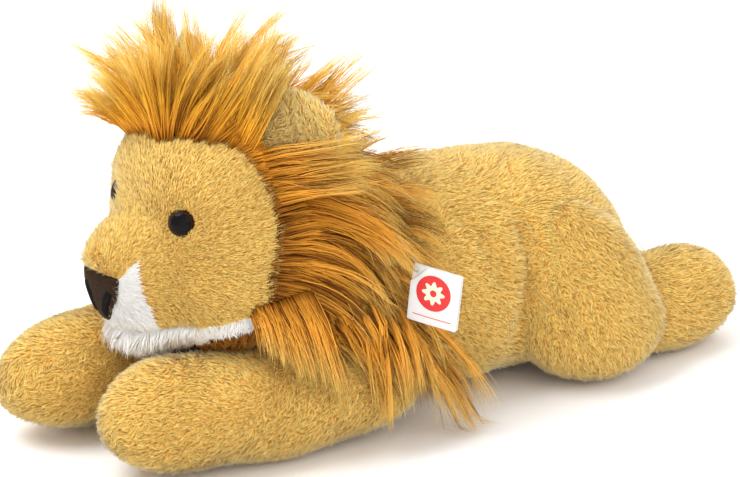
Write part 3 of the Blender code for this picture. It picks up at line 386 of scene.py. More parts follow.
def farthest(holds, start, rays):
    """How far each ray runs from start before it leaves a form, by halving the doubt."""
    near = np.zeros(rays.shape[:-1])
    far = near + FAR
    for _ in range(HALVINGS):
        middle = (near + far) / 2
        inside = holds(start + rays * middle[..., None])
        near, far = np.where(inside, middle, near), np.where(inside, far, middle)
    return near


def head_reach(rays):
    """The farthest lump's reach. Two reaches a and b blend to (a + b + sqrt((a - b)^2 + blend^2)) / 2."""
    reach = None
    for centre, sizes, power in HEAD_LUMPS:
        lump = farthest(lambda points: (np.abs((points - centre) / sizes) ** power).sum(-1) < 1, HEAD_START, rays)
        reach = lump if reach is None else (reach + lump + np.sqrt((reach - lump) ** 2 + HEAD_BLEND**2)) / 2
    return reach


def ray_at(polar, turn):
    """Direction at an angle from straight ahead, and turned about that axis from +X up."""
    return np.stack([np.sin(polar) * np.cos(turn), -np.cos(polar) + 0 * turn, np.sin(polar) * np.sin(turn)], -1)


def head_skin(rings, sides, grow):
    """The head's skin on a grid of directions round the Y axis, moved out by a length."""
    polar = np.linspace(0, np.pi, rings + 2)[1:-1, None]
    turn = full_turn(sides)[None, :]
    poles = np.array([[0.0, -1, 0], [0.0, 1, 0]])
    skin, ends = (HEAD_START + rays * (head_reach(rays) + grow)[..., None] for rays in (ray_at(polar, turn), poles))
    return closed_rings(skin, ends[0], ends[1])


def head_holds(points):
    away = points - HEAD_START
    return head_reach(unit(away)) > np.linalg.norm(away, axis=-1)


print("the head's lumps end in front at y", (HEAD_START[1] - head_reach(np.array([0.0, -1, 0]))).round(4))

# %% [markdown]
# ## Finishes
# A strand's own map says two things at each of its points: which tint the strand has, and
# how far along it the point lies. The pile material reads both, so that roots are darker
# than tips, partly as painted shade deep in the pile, and no two strands are quite alike.
# Slow noise on the object's coordinates adds the patches that brushing leaves in real pile.

# %% Material functions
def ramp(tree, source, stops):
    node = linked(tree, "ValToRGB", {0: source})
    while len(node.color_ramp.elements) < len(stops):
        node.color_ramp.elements.new(0.5)
    for element, (place, colour) in zip(node.color_ramp.elements, stops):
        element.position = place
        element.color = (*colour, 1)
    return node.outputs[0]


def multiply(tree, first, second):
    mix = linked(tree, "Mix", {0: 1.0, 6: first, 7: second}, data_type="RGBA", blend_type="MULTIPLY")
    return mix.outputs[2]


def object_noise(tree, size, detail=2.0):
    """Noise on the object's own coordinates, with grains of about this size."""
    where = linked(tree, "TexCoord", {}).outputs["Object"]
    return linked(tree, "TexNoise", {"Scale": 1 / size, "Detail": detail, "Vector": where}).outputs["Fac"]


def grey_stops(*stops):
    return [(place, (level, level, level)) for place, level in stops]


MOTTLE_SIZE, PATCH_SIZE = 2.6 * MM, 30 * MM
SHEEN_TINT = (1.0, 0.86, 0.62, 1)


def pile_material(name, along, tints, patch_low=0.9, mottle_low=0.84, roughness=0.85, sheen=0.15):
    """Colour along each strand, times its tint, times slow patches and small mottling on the object."""
    made, tree, shader = new_finish(name, Roughness=roughness, Sheen_Weight=sheen, Sheen_Roughness=0.45,
                                    Sheen_Tint=SHEEN_TINT, Specular_IOR_Level=0.12)
    place = linked(tree, "UVMap", {}, uv_map="OFBake")
    split = linked(tree, "SeparateXYZ", {0: place.outputs["UV"]})
    colour = multiply(tree, ramp(tree, split.outputs[1], along), ramp(tree, split.outputs[0], tints))
    for size, low in ((PATCH_SIZE, patch_low), (MOTTLE_SIZE, mottle_low)):
        patches = ramp(tree, object_noise(tree, size), grey_stops((0.38, low), (0.62, 1.0)))
        colour = multiply(tree, colour, patches)
    tree.links.new(colour, shader.inputs["Base Color"])
    return made


def cloth_material(name, dark, light, grain=2 * MM, depth=0.4 * MM, roughness=0.9, specular=0.5):
    """Woven or knitted backing: two tones in small noise, with a shallow bump."""
    made, tree, shader = new_finish(name, Roughness=roughness, Specular_IOR_Level=specular)
    speckle = object_noise(tree, grain, 3.0)
    bump = linked(tree, "Bump", {"Distance": depth, "Height": speckle})
    tree.links.new(ramp(tree, speckle, [(0.35, dark), (0.65, light)]), shader.inputs["Base Color"])
    tree.links.new(bump.outputs[0], shader.inputs["Normal"])
    return made


def gloss_material(name, colour, roughness, specular=0.5, clear=0.0):
    """Polished plastic: one deep colour with very faint streaks in its roughness."""
    made, tree, shader = new_finish(name, Specular_IOR_Level=specular, Transmission_Weight=clear)
    speckle = object_noise(tree, 4 * MM)
    tones = ramp(tree, speckle, [(0.3, colour), (0.7, tuple(1.25 * level for level in colour))])
    polish = ramp(tree, speckle, grey_stops((0.3, roughness), (0.7, roughness * 1.6)))
    tree.links.new(tones, shader.inputs["Base Color"])
    tree.links.new(polish, shader.inputs["Roughness"])
    return made


# %% Pile and cloth
# Roots darker than tips: partly the pile's own colour, partly painted shade deep in the pile.
golden_pile = pile_material(
    "golden_pile",
    [(0, (0.62, 0.26, 0.035)), (0.35, (1.0, 0.60, 0.125)), (1, (1.0, 0.84, 0.31))],
    [(0, (0.44, 0.36, 0.28)), (0.25, (0.90, 0.86, 0.80)), (0.5, (1, 1, 1)), (1, (1, 1, 1))],
    patch_low=0.95, mottle_low=0.76, sheen=0.8,
)
pale_pile = pile_material(
    "pale_pile",
    [(0, (0.66, 0.33, 0.055)), (0.35, (1.0, 0.61, 0.15)), (1, (1.0, 0.86, 0.36))],
    grey_stops((0, 0.80), (1, 1.0)), patch_low=0.96, mottle_low=0.86, sheen=0.8,
)
white_pile = pile_material(
    "white_pile",
    [(0, (0.95, 0.94, 0.92)), (1, (0.99, 0.99, 0.98))],
    grey_stops((0, 0.98), (1, 1.0)), patch_low=0.99, mottle_low=0.98, sheen=0.8,
)
MANE_TINTS = [(0, (0.22, 0.14, 0.10)), (0.2, (0.50, 0.40, 0.33)), (0.42, (0.92, 0.86, 0.80)), (1, (1, 1, 1))]
# The dark roots of the mane and crest are partly painted shade deep in the locks.
mane_pile, crest_pile = (
    pile_material(name, along, MANE_TINTS, mottle_low=0.95, roughness=0.5, sheen=0.0) for name, along in (
        ("mane_pile", [(0, (0.30, 0.10, 0.008)), (0.12, (0.64, 0.265, 0.024)), (0.5, (0.98, 0.475, 0.060)),
                       (0.85, (1.0, 0.64, 0.15)), (1, (1.0, 0.78, 0.25))]),
        ("crest_pile", [(0, (0.46, 0.17, 0.014)), (0.12, (0.86, 0.36, 0.028)), (0.45, (1.0, 0.53, 0.046)),
                        (0.75, (1.0, 0.63, 0.11)), (1, (1.0, 0.80, 0.27))])))
brown_pile = pile_material("brown_pile", [(0, (0.015, 0.007, 0.003)), (1, (0.10, 0.055, 0.03))],
                           grey_stops((0, 0.6), (1, 1.0)))
golden_cloth = cloth_material("golden_cloth", (0.62, 0.33, 0.06), (0.82, 0.52, 0.13))
pale_cloth = cloth_material("pale_cloth", (0.70, 0.45, 0.14), (0.86, 0.62, 0.26))
white_cloth = cloth_material("white_cloth", (0.93, 0.92, 0.90), (0.97, 0.97, 0.96))
# Painted shade: a dark cloth under the hair, as dark as the shade there.
under_hair_shade_cloth = cloth_material("under_hair_shade_cloth", (0.12, 0.035, 0.004), (0.28, 0.10, 0.012))
brown_cloth = cloth_material("brown_cloth", (0.012, 0.006, 0.003), (0.05, 0.025, 0.012), grain=1 * MM)
print(len(bpy.data.materials), "materials so far")

# %% [markdown]
# ## Pile
# Real pile is a field of fibres. Here each visible tuft is one closed spike of three sides
# whose root sits on the cloth and whose tip leans with the nap. Tufts are spread so that
# equal areas of cloth get equal numbers, and none grows where the cloth is sewn against
# a neighbour or pressed on the floor.

# %% Strands
SOFT_ROUND = 0.5
ODD_WAY = np.array([0.37, 0.61, 0.70])


def strand_mesh(lines, radii, tints, outward=None):
    """Three-sided closed strands along lines[n, k, 3], each ring radii[n, k] wide and the end a point.

    Gives points, triangles, the tint map, and normals that mix the cloth's outward direction
    with the strand's own roundness, or none where outward is not given.
    """
    count, steps = lines.shape[:2]
    tangent = unit(np.gradient(lines, axis=1)) if steps > 2 else unit(lines[:, 1:] - lines[:, :1]) + 0 * lines
    across = unit(np.cross(tangent, ODD_WAY))
    up = np.cross(tangent, across)
    turn = 2 * np.pi * (np.arange(3) / 3 + tints[:, None])
    ring = np.cos(turn)[:, None, :, None] * across[:, :-1, None] + np.sin(turn)[:, None, :, None] * up[:, :-1, None]
    rings = lines[:, :-1, None] + ring * radii[:, :, None, None]
    points = np.concatenate([rings.reshape(count, -1, 3), lines[:, -1:]], 1)
    corner = np.arange(3)
    after = (corner + 1) % 3
    low = 3 * np.arange(steps - 2)[:, None]
    sides_a = np.stack([low + corner, low + after, low + 3 + after], -1).reshape(-1, 3)
    sides_b = np.stack([low + corner, low + 3 + after, low + 3 + corner], -1).reshape(-1, 3)
    last = 3 * (steps - 2)
    tip = np.stack([last + corner, last + after, 0 * corner + 3 * (steps - 1)], -1)
    one = np.concatenate([[[0, 2, 1]], sides_a, sides_b, tip])
    triangles = (np.arange(count)[:, None, None] * (3 * (steps - 1) + 1) + one).reshape(-1, 3)
    along = np.append(np.repeat(np.arange(steps - 1), 3), steps - 1) / (steps - 1)
    nudge = np.append(np.tile([0, 1, 0.5], steps - 1), 0.5) * 0.02
    uv = np.stack([tints[:, None] * 0.96 + nudge + 0.01, 0 * tints[:, None] + along * 0.98 + 0.01], -1)
    facing = None
    if outward is not None:
        soft = np.concatenate([ring.reshape(count, -1, 3), 0 * lines[:, -1:]], 1) * SOFT_ROUND
        facing = unit(soft + outward[:, None]).reshape(-1, 3)
    return points.reshape(-1, 3), triangles, uv.reshape(-1, 2), facing


def scatter(form, spacing, normals=None):
    """Roots spread evenly by area over a closed mesh, with the outward direction at each."""
    points, triangles = form
    normals = point_normals(points, triangles) if normals is None else normals
    a, b, c = (points[triangles[:, k]] for k in range(3))
    total = np.cumsum(np.linalg.norm(np.cross(b - a, c - a), axis=1) / 2)
    count = int(total[-1] / spacing**2)
    chosen = np.searchsorted(total, (np.arange(count) + rng.random(count)) / count * total[-1])
    corners = triangles[np.minimum(chosen, len(triangles) - 1)]
    first, second = rng.random((2, count))
    swap = first + second > 1
    first, second = np.where(swap, 1 - first, first), np.where(swap, 1 - second, second)
    weights = np.stack([1 - first - second, first, second], -1)[..., None]
    return (points[corners] * weights).sum(1), unit((normals[corners] * weights).sum(1))


def clumps(roots, size=7 * MM):
    """Small swirls that gather neighbouring tufts: sine waves along crossing ways."""
    waves = np.random.default_rng(5)
    pull = np.zeros_like(roots)
    for _ in range(9):
        way, side = unit(waves.normal(size=3)), unit(waves.normal(size=3))
        phase = roots @ way * 2 * np.pi / (size * (0.6 + 0.9 * waves.random())) + waves.random() * 7
        pull += side * np.sin(phase)[:, None]
    return pull / 3


# %% [markdown]
# ## Padded skins
# Each bag has creases where the filling gives way: along a line of places, the cloth is
# pushed in by a depth that fades with the distance from that line. The pile in a crease
# is painted darker, as painted shade in the fold, and its nap wanders slowly over the cloth.

# %% Creases
def distance_to_line(points, places):
    """Least distance from each point to the straight runs between the places."""
    least = np.full(len(points), FAR)
    for start, end in zip(places[:-1], places[1:]):
        run = end - start
        share = np.clip(((points - start) @ run) / (run @ run), 0, 1)
        least = np.minimum(least, np.linalg.norm(points - start - share[:, None] * run, axis=1))
    return least


def fold_share(points, places, width):
    """1 on the line of a crease and fading away from it, as exp(-(distance / width)^2)."""
    return np.exp(-((distance_to_line(points, mm(*places)) / (width * MM)) ** 2))


def creased(points, normals, creases):
    for places, depth, width in creases:
        points = points - normals * (depth * MM * fold_share(points, places, width))[:, None]
    return points


def lumpy(points, normals, size, depth, seed):
    """The slow waves of cloth over loose filling: a few crossing sine waves."""
    waves = np.random.default_rng(seed)
    offset = np.zeros(len(points))
    for _ in range(6):
        way = unit(waves.normal(size=3))
        offset += np.sin(points @ way * 2 * np.pi / (size * (0.7 + 0.6 * waves.random())) + waves.random() * 7)
    return points + normals * (offset * depth / 3)[:, None]


def nap_of(way, seed, swirl=60 * MM):
    """The lie of a bag's pile: one main way that wanders slowly over the cloth."""
    def nap_at(roots):
        waves = np.random.default_rng(seed)
        turn = sum(np.sin(roots @ unit(waves.normal(size=3)) * 2 * np.pi / (swirl * (0.6 + 0.8 * waves.random()))
                          + waves.random() * 7) for _ in range(4))
        nap = np.broadcast_to(np.array(way, dtype=float), roots.shape)
        side = np.cross(nap, [0.3, 0.1, 1.0])
        return unit(nap + unit(side) * turn[:, None] * 0.4 + clumps(roots) * 0.8)

    return nap_at


# %% Pile on a bag
PILE_HEIGHT = 2.4 * MM
SPACING, TUFT_RADIUS = 1.21 * MM, 0.47 * MM
# Share by which the tint of pile in a crease is painted darker: painted shade.
FOLD_SHADE = 0.95
# Heights over the floor: of the cloth, of the lowest pile, of the lowest root and of the lowest hair.
CLOTH_GAP, PILE_GAP, ROOT_GAP, HAIR_GAP = 0.2 * MM, 0.4 * MM, 1.5 * MM, 2 * MM
SWELL_SIZE, SWELL_DEPTH = 55 * MM, 1.2 * MM


def grow_pile(roots, outward, nap, length, radius, lean, scatter_by, steps, bend):
    """Lines, radii and tints of tufts: each leans from the outward direction towards the nap."""
    count = len(roots)
    nap = unit(nap - (nap * outward).sum(-1, keepdims=True) * outward)
    way = unit(outward + nap * lean + rng.normal(size=(count, 3)) * scatter_by)
    reach = length * (0.75 + 0.5 * rng.random(count))
    at = np.linspace(0, 1, steps)[None, :, None]
    curl = unit(way + nap * bend) - way
    lines = roots[:, None] + (way[:, None] * at + curl[:, None] * at**2) * reach[:, None, None]
    lines[..., 2] = np.maximum(lines[..., 2], PILE_GAP)
    taper = (1 - np.linspace(0, 1, steps)[:-1] ** 1.5 * 0.8)[None, :]
    return lines, radius * (0.8 + 0.4 * rng.random(count))[:, None] * taper, rng.random(count)


def put_pile(name, form, keep, nap_at, finish, body, slot, nodes=(), length=5.2 * MM, spacing=SPACING, lean=1.1,
             steps=2, radius=TUFT_RADIUS, scatter_by=0.3, bend=0.5, creases=(), tint_top=1.0):
    """One piece of pile: tufts on a closed mesh wherever keep says so, their nap given by nap_at."""
    roots, outward = scatter(form, spacing)
    kept = keep(roots)
    roots, outward = roots[kept], outward[kept]
    length = length(roots) if callable(length) else length
    lines, radii, tint = grow_pile(roots, outward, nap_at(roots), length, radius, lean, scatter_by, steps, bend)
    # Tufts near a crease get a darker tint: painted shade in the fold.
    shade = np.max([0 * tint] + [fold_share(roots, places, width) for places, _, width in creases], axis=0)
    tint = tint * tint_top * (1 - FOLD_SHADE * shade)
    points, triangles, uv, facing = strand_mesh(lines, radii, tint, outward)
    put_piece(name, (points, triangles), finish, body, nodes, uv=uv, facing=facing)
    print(name, len(roots), "tufts")


def resting(points):
    """Points with the floor as a flat under them."""
    return np.concatenate([points[:, :2], np.maximum(points[:, 2:], CLOTH_GAP)], 1)


# %% Torso, legs, thighs and feet
HAIR_REAR_Y = -24 * MM
TORSO_CREASES = [
    ([(40, 64, 136), (51, 71, 129), (64, 78, 116)], 4, 4),
    ([(64, 78, 116), (76, 77, 93), (77, 72, 62), (74, 72, 30)], 10, 7),
    ([(52, 36, 124), (60, 41, 117), (70, 50, 100), (76, 56, 84)], 4.5, 4.5),
]
CLEFT = [([(-4, 112, 147), (-6, 140, 144), (-6, 165, 131), (-4, 181, 104), (-2, 187, 60)], 6, 6)]
THIGH_CREASES = [([(80, 80, 74), (91, 93, 58), (97, 104, 36)], 5, 5), ([(82, 78, 58), (90, 86, 52)], 3, 6)]


def on_side(creases, side):
    return [([(side * x, y, z) for x, y, z in places], depth, width) for places, depth, width in creases]


def off_floor(roots):
    return roots[:, 2] > ROOT_GAP


def clear_of(*pairs):
    """A test that keeps the roots that are off the floor and outside each form grown by its length in mm."""
    def keep(roots):
        return off_floor(roots) & ~np.any([form_holds(form, roots, grow * MM) for form, grow in pairs], axis=0)

    return keep


def make_bag(name, form, rings, sides, seed, creases, keep, way, body, nodes):
    points, triangles = form_skin(form, rings, sides, -PILE_HEIGHT)
    points = lumpy(points, point_normals(points, triangles), SWELL_SIZE, SWELL_DEPTH, seed)
    points = resting(creased(points, point_normals(points, triangles), creases))
    skin = (points, triangles)
    # Where the hair covers the torso, its cloth is the dark under-hair cloth: painted shade.
    under_hair = (points[triangles].mean(1)[:, 1] < HAIR_REAR_Y) if name == "torso_bag" else None
    cloths = golden_cloth if under_hair is None else [golden_cloth, under_hair_shade_cloth]
    put_piece(name, skin, cloths, body, nodes, patch=under_hair)
    put_pile(name + "_pile", skin, keep, nap_of(way, seed), golden_pile, body, "golden_plush", creases=creases)


others = [(forms[side], grow) for side in SIDES for forms, grow in ((THIGHS, -5), (FEET, -2), (FRONT_LEGS, -2))]
both_creases = on_side(TORSO_CREASES, LEFT) + on_side(TORSO_CREASES, RIGHT) + CLEFT
make_bag("torso_bag", TORSO, 100, 130, 3, both_creases, lambda r: clear_of(*others)(r) & (r[:, 1] > HAIR_REAR_Y),
         (0, 1, -0.35), "torso", ("torso_skin", "torso_filling"))
for side in SIDES:
    for word, forms, rings, sides, seed, creases, clear, way, body, fill in (
        ("front_leg", FRONT_LEGS, 70, 84, 5, [], [(TORSO, -6)], (0, -1, -0.2), "front_leg", 0.7),
        ("thigh", THIGHS, 64, 84, 8, THIGH_CREASES, [(TORSO, -11)], (0, 0.6, -1), "hind_leg", 0.6),
        ("foot", FEET, 60, 90, 11, [], [(TORSO, -11), (THIGHS[side], -2)], (0, 1, -0.2), "hind_leg", 0.6),
    ):
        make_bag(side_name(word + "_bag", side), forms[side], rings, sides, seed + side, on_side(creases, side),
                 clear_of(*clear), way, side_name(body, side),
                 [side_name(f"{word}_{layer}", side) for layer in ("skin", "filling")])

# %% [markdown]
# ## The face
# The head's bag carries three cloths: golden plush above, a white panel round the nose and
# long white pile on the chin. Pile parts round each eye, where a dark ring is sewn in.

# %% Front of the head
EYE_X, EYE_Z = {LEFT: 42 * MM, RIGHT: -35 * MM}, 158 * MM
EYE_RADIUS, EYE_DOME = 8.5 * MM, 5.5 * MM
MUZZLE_FLAT_Y, MUZZLE_EASE = -184 * MM, 7 * MM


def blunted(y, z):
    """The muzzle's front under the bridge is nearly flat: what lies ahead of a level is eased back."""
    ahead = np.maximum(MUZZLE_FLAT_Y - y, 0)
    eased = MUZZLE_EASE * (1 - np.exp(-ahead / MUZZLE_EASE))
    return y + (ahead - eased) * smooth_share(-z, -128 * MM, -119 * MM) * smooth_share(z, 74 * MM, 84 * MM)


def head_front(x, z):
    """Point of the head's front surface at a place in front view, and its outward direction."""
    def surface_y(x, z):
        rear = np.stack([x, 0 * x + NOD[1] - 30 * MM, z], -1)
        return blunted(rear[..., 1] - farthest(head_holds, rear, np.zeros_like(rear) + [0.0, -1, 0]), z)

    step = 2 * MM
    y = surface_y(x, z)
    slope_x = (surface_y(x + step, z) - surface_y(x - step, z)) / (2 * step)
    slope_z = (surface_y(x, z + step) - surface_y(x, z - step)) / (2 * step)
    return np.stack([x, y, z], -1), unit(np.stack([slope_x, -1 + 0 * x, slope_z], -1))


eye_places = {}
for side in SIDES:
    place, facing = head_front(np.array([EYE_X[side]]), np.array([EYE_Z]))
    eye_places[side] = (place[0], facing[0])
print("left eye at", eye_places[LEFT][0].round(4))


def eye_distance(points):
    return np.minimum(*(np.linalg.norm(points - eye_places[side][0], axis=-1) for side in SIDES))


# %% Regions of the face
MOUTH_SEAM = mm((-200, 79), (-166, 85), (-88, 118))
PANEL_SIDE = mm((60, 27), (85, 27), (100, 27), (117, 26), (134, 24))
PANEL_TOP_Z, PANEL_TOP_SLOPE = 121 * MM, 2.2
PANEL_REAR_Y = -158 * MM
NOSE_TOP_Z, NOSE_LOW_Z, NOSE_HALF, NOSE_TIP_HALF = mm(121, 91, 19, 4)


def mouth_height(points):
    """How far each point lies above the mouth seam."""
    return points[..., 2] - np.interp(points[..., 1], MOUTH_SEAM[:, 0], MOUTH_SEAM[:, 1])


def in_panel(points):
    """The white panel: under a line that rises outwards from the nose, and above the mouth."""
    aside = np.abs(points[..., 0])
    beside = aside < np.interp(points[..., 2], PANEL_SIDE[:, 0], PANEL_SIDE[:, 1])
    top = PANEL_TOP_Z + np.maximum(aside - NOSE_HALF, 0) * PANEL_TOP_SLOPE
    return (points[..., 1] < PANEL_REAR_Y) & beside & (points[..., 2] < top) & (mouth_height(points) > 0)


def in_chin(points):
    """The white band under the mouth: as deep as the chin in front, and narrow farther back."""
    depth = (9 + 60 * smooth_share(-points[..., 1], 138 * MM, 168 * MM)) * MM
    height = mouth_height(points)
    return (height < 0) & (height > -depth)


def in_nose(points, grow):
    share = (NOSE_TOP_Z - points[..., 2]) / (NOSE_TOP_Z - NOSE_LOW_Z)
    half = NOSE_HALF + (NOSE_TIP_HALF - NOSE_HALF) * share + grow
    return (points[..., 1] < PANEL_REAR_Y) & (np.abs(points[..., 0]) < half) & (share > -0.02) & (share < 1.02)


# %% Hairline
HAIR_START = mm(0, -85, 150)
# Rise of a direction above level, and the hairline's angle from straight ahead, in degrees.
HAIRLINE = {
    LEFT: ((-90, 76), (-60, 76), (-45, 73), (-30, 69), (-20, 68), (0, 72.6), (17, 71), (34, 68), (49, 62),
           (62, 50), (83, 37), (90, 36)),
    RIGHT: ((-90, 76), (-60, 76), (-45, 73), (-30, 69), (-20, 68), (0, 70), (17, 64), (34, 50), (49, 41),
            (62, 38), (83, 36.5), (90, 36)),
}


def hairline_polar(turn):
    """Where hair begins, as an angle from straight ahead. It is combed farther forward on the right."""
    rise = np.degrees(np.arcsin(np.sin(turn)))
    left, right = (table_at(HAIRLINE[side], rise)[0] for side in SIDES)
    return np.radians(np.where(np.cos(turn) > 0, left, right))


def past_hairline(points):
    """Angle by which each place on the head lies behind the hairline."""
    rays = unit(points - HAIR_START)
    return np.arccos(np.clip(-rays[..., 1], -1, 1)) - hairline_polar(np.arctan2(rays[..., 2], rays[..., 0]))


# %% The head's bag
SEAM_DEPTH, SEAM_WIDTH, SEAM_FRONT_Y = 2.5 * MM, 2.2 * MM, -150 * MM
SOCKET_DEPTH, SOCKET_WIDTH = 2.0 * MM, 11 * MM
GOLDEN, WHITE, BROWN, UNDER_HAIR = range(4)
head_points, head_triangles = head_skin(150, 220, -2.2 * MM)
head_points[:, 1] = blunted(head_points[:, 1], head_points[:, 2])
head_normals = point_normals(head_points, head_triangles)
mouth_depth = SEAM_DEPTH * np.exp(-((mouth_height(head_points) / SEAM_WIDTH) ** 2))
mouth_depth = mouth_depth * (head_points[:, 1] < SEAM_FRONT_Y)
socket_depth = SOCKET_DEPTH * np.exp(-((eye_distance(head_points) / SOCKET_WIDTH) ** 4))
head_points = head_points - head_normals * (mouth_depth + socket_depth)[:, None]
HEAD = (head_points, head_triangles)
middles = head_points[head_triangles].mean(1)
whites = in_panel(middles) | in_chin(middles)
# Under the hairline and below the mouth, the cloth is the dark under-hair cloth: painted shade.
under_hair = (past_hairline(middles) > np.radians(2)) | ((mouth_height(middles) < 0) & ~whites)
patch = np.where(eye_distance(middles) < EYE_RADIUS, BROWN, np.where(whites, WHITE, GOLDEN))
patch = np.where(under_hair, UNDER_HAIR, patch)
put_piece("head_bag", HEAD, [golden_cloth, white_cloth, brown_cloth, under_hair_shade_cloth], "head",
          ("head_filling",), patch=patch)
print("head bag", len(head_triangles), "triangles")

# %% Face pile
BRIDGE_END = mm(0, -198, 128)
FACE_WHORL = mm(0, -196, 108)


def face_keep(roots):
    clear = eye_distance(roots) > EYE_RADIUS - 0.3 * MM
    return (past_hairline(roots) < np.radians(2)) & clear & ~in_nose(roots, -1 * MM)


def near_bridge_end(roots):
    return np.exp(-((np.linalg.norm((roots - BRIDGE_END) * [0.7, 1, 1], axis=1) / (11 * MM)) ** 2))


def face_way(roots):
    """Nap of the face: away from the nose and out over the cheeks, but forward at the bridge's end."""
    forward = near_bridge_end(roots)[:, None]
    return unit(unit(roots - FACE_WHORL) * (1 - forward) + np.array([0, -1, -0.25]) * forward)


def chin_way(roots):
    return unit((roots - HEAD_START) * [1, 1, 0] * 0.7 + [0, -0.007, -0.10])


def face_length(roots):
    """Longer at the bridge's end and in a ring round each eye."""
    ring = np.exp(-(((eye_distance(roots) - 11.5 * MM) / (3.5 * MM)) ** 2))
    return (4.6 + 3.6 * near_bridge_end(roots) + 1.8 * ring) * MM


def chin_length(roots):
    return (4.5 + 9 * smooth_share(-roots[:, 1], 140 * MM, 176 * MM)) * MM


FACE_PILES = (
    ("face_pile", lambda r, up: face_keep(r) & ~in_panel(r) & (up > 0.5 * MM), face_way, golden_pile, "golden_plush",
     ["face_skin"], dict(length=face_length, lean=1.0, spacing=0.92 * MM, radius=0.38 * MM)),
    ("muzzle_pile", lambda r, up: face_keep(r) & in_panel(r) & (up > 0.8 * MM), face_way, white_pile, "white_plush",
     ["muzzle_panel"], dict(length=4.0 * MM, lean=0.9, spacing=0.9 * MM, radius=0.45 * MM)),
    ("chin_pile", lambda r, up: (up < -0.6 * MM) & in_chin(r) & face_keep(r), chin_way, white_pile, "white_plush",
     ["chin_panel"], dict(length=chin_length, lean=0.8, spacing=0.8 * MM, radius=0.33 * MM, steps=3, scatter_by=0.22,
                          bend=0.8)),
    # The throat's pile is painted dark by tint_top: painted shade under the jaw.
    ("throat_pile", lambda r, up: (up < 0) & ~in_chin(r) & (past_hairline(r) < np.radians(4)), chin_way, mane_pile,
     "mane_pile", [], dict(length=9 * MM, lean=1.0, spacing=1.5 * MM, radius=0.42 * MM, steps=3, scatter_by=0.35,
                           bend=0.8, tint_top=0.15)),
)
for name, chosen, way, finish, slot, nodes, more in FACE_PILES:
    put_pile(name, HEAD, lambda r: chosen(r, mouth_height(r)), lambda r: unit(way(r) + clumps(r) * 0.5), finish, "head",
             slot, nodes, **more)

# %% [markdown]
# ## The mane
# On the real toy the mane is sewn from cloth with a pile as long as a finger. Each lock
# here starts on that cloth, sets off in the direction that the cloth gives it, and then
# falls: with every short step its way sinks a little, and a place that would lie inside
# the head, the body, a leg, an ear or the tag is moved off it. Locks that fall beyond the
# space of the mane in the frame are drawn back into it.

# %% Where the tag hangs
TAG_TURN, TAG_ROLL = np.radians(30), np.radians(6)
TAG_CENTRE = mm(112, -22, 105)
TAG_LEVEL = np.array([np.cos(TAG_TURN), np.sin(TAG_TURN), 0])
TAG_FACING = np.array([np.sin(TAG_TURN), -np.cos(TAG_TURN), 0])
TAG_ACROSS = TAG_LEVEL * np.cos(TAG_ROLL) - UP * np.sin(TAG_ROLL)
TAG_UP = np.cross(TAG_FACING, TAG_ACROSS)
TAG_HALF = mm(16.5, 18)
print("tag at", TAG_CENTRE, "facing", TAG_FACING.round(3))


# %% Hair keeps off the head and the bags
def off_head(points, clear):
    """Points nearer to the head than clear, moved straight away from its middle."""
    away = points - HEAD_START
    distance = np.linalg.norm(away, axis=-1)
    rays = away / distance[..., None]
    return HEAD_START + rays * np.maximum(distance, head_reach(rays) + clear)[..., None]


def off_form(points, form, clear):
    """Points inside a lying form grown by clear, moved out along their own ellipse."""
    share = share_along(form, points)
    centre, wide, high = middle_of(form, np.clip(share, 0.01, 0.99))
    away = points[..., ::2] - centre[..., ::2]
    size = np.linalg.norm(away / np.stack([wide + clear, high + clear], -1), axis=-1)
    held = (share > 0) & (share < 1) & (size < 1)
    moved = points.copy()
    moved[..., ::2] = centre[..., ::2] + away * np.where(held, 1 / np.maximum(size, 0.1), 1)[..., None]
    return moved


# %% Hair keeps off the ears and the tag
EAR_ROOM = mm(13, 20, 9)
EAR_TURN = np.radians(35)
TAG_EDGE, TAG_CORNER = 3 * MM, mm(-8, 6)


def ear_frame(side):
    """Base and tip of an ear, its direction across and the direction that it faces."""
    base, tip = mm(side * 48, -94, 166), mm(side * 72, -84, 229)
    facing = np.array([side * np.sin(EAR_TURN), -np.cos(EAR_TURN), 0])
    ahead = unit(tip - base)
    across = unit(np.cross(ahead, facing))
    return base, tip, across, np.cross(across, ahead)


def off_ear(points, side):
    """Points inside an egg round the open part of an ear, moved straight out of it."""
    base, tip, across, facing = ear_frame(side)
    middle = base + (tip - base) * 0.78 + across * side * 13 * MM + facing * 4 * MM
    frame_ways = np.stack([across, unit(tip - base), facing])
    local = (points - middle) @ frame_ways.T
    size = np.linalg.norm(local / EAR_ROOM, axis=-1, keepdims=True)
    return middle + (local / np.clip(size, 0.2, 1)) @ frame_ways


def behind_tag(points, depth):
    """Points in front of the tag or in it, moved behind it."""
    away = points - TAG_CENTRE
    across, up, out = away @ TAG_ACROSS, away @ TAG_UP, away @ TAG_FACING
    corner = (across < TAG_CORNER[0]) & (up > TAG_CORNER[1])
    beside = (np.abs(across) < TAG_HALF[0] + TAG_EDGE) & (np.abs(up) < TAG_HALF[1] + TAG_EDGE)
    covered = beside & (out > -depth) & ~corner
    return points - TAG_FACING * np.where(covered, out + depth, 0)[..., None]


# %% Hair stays in the mane's space
MANE_AXIS_Y, MANE_SHOULDER_Z = -50 * MM, 190 * MM
# This share of the distance beyond the mane's space is kept.
KEPT_BEYOND = 0.25
LEG_CLEAR, TAG_CLEAR = 5 * MM, 5 * MM


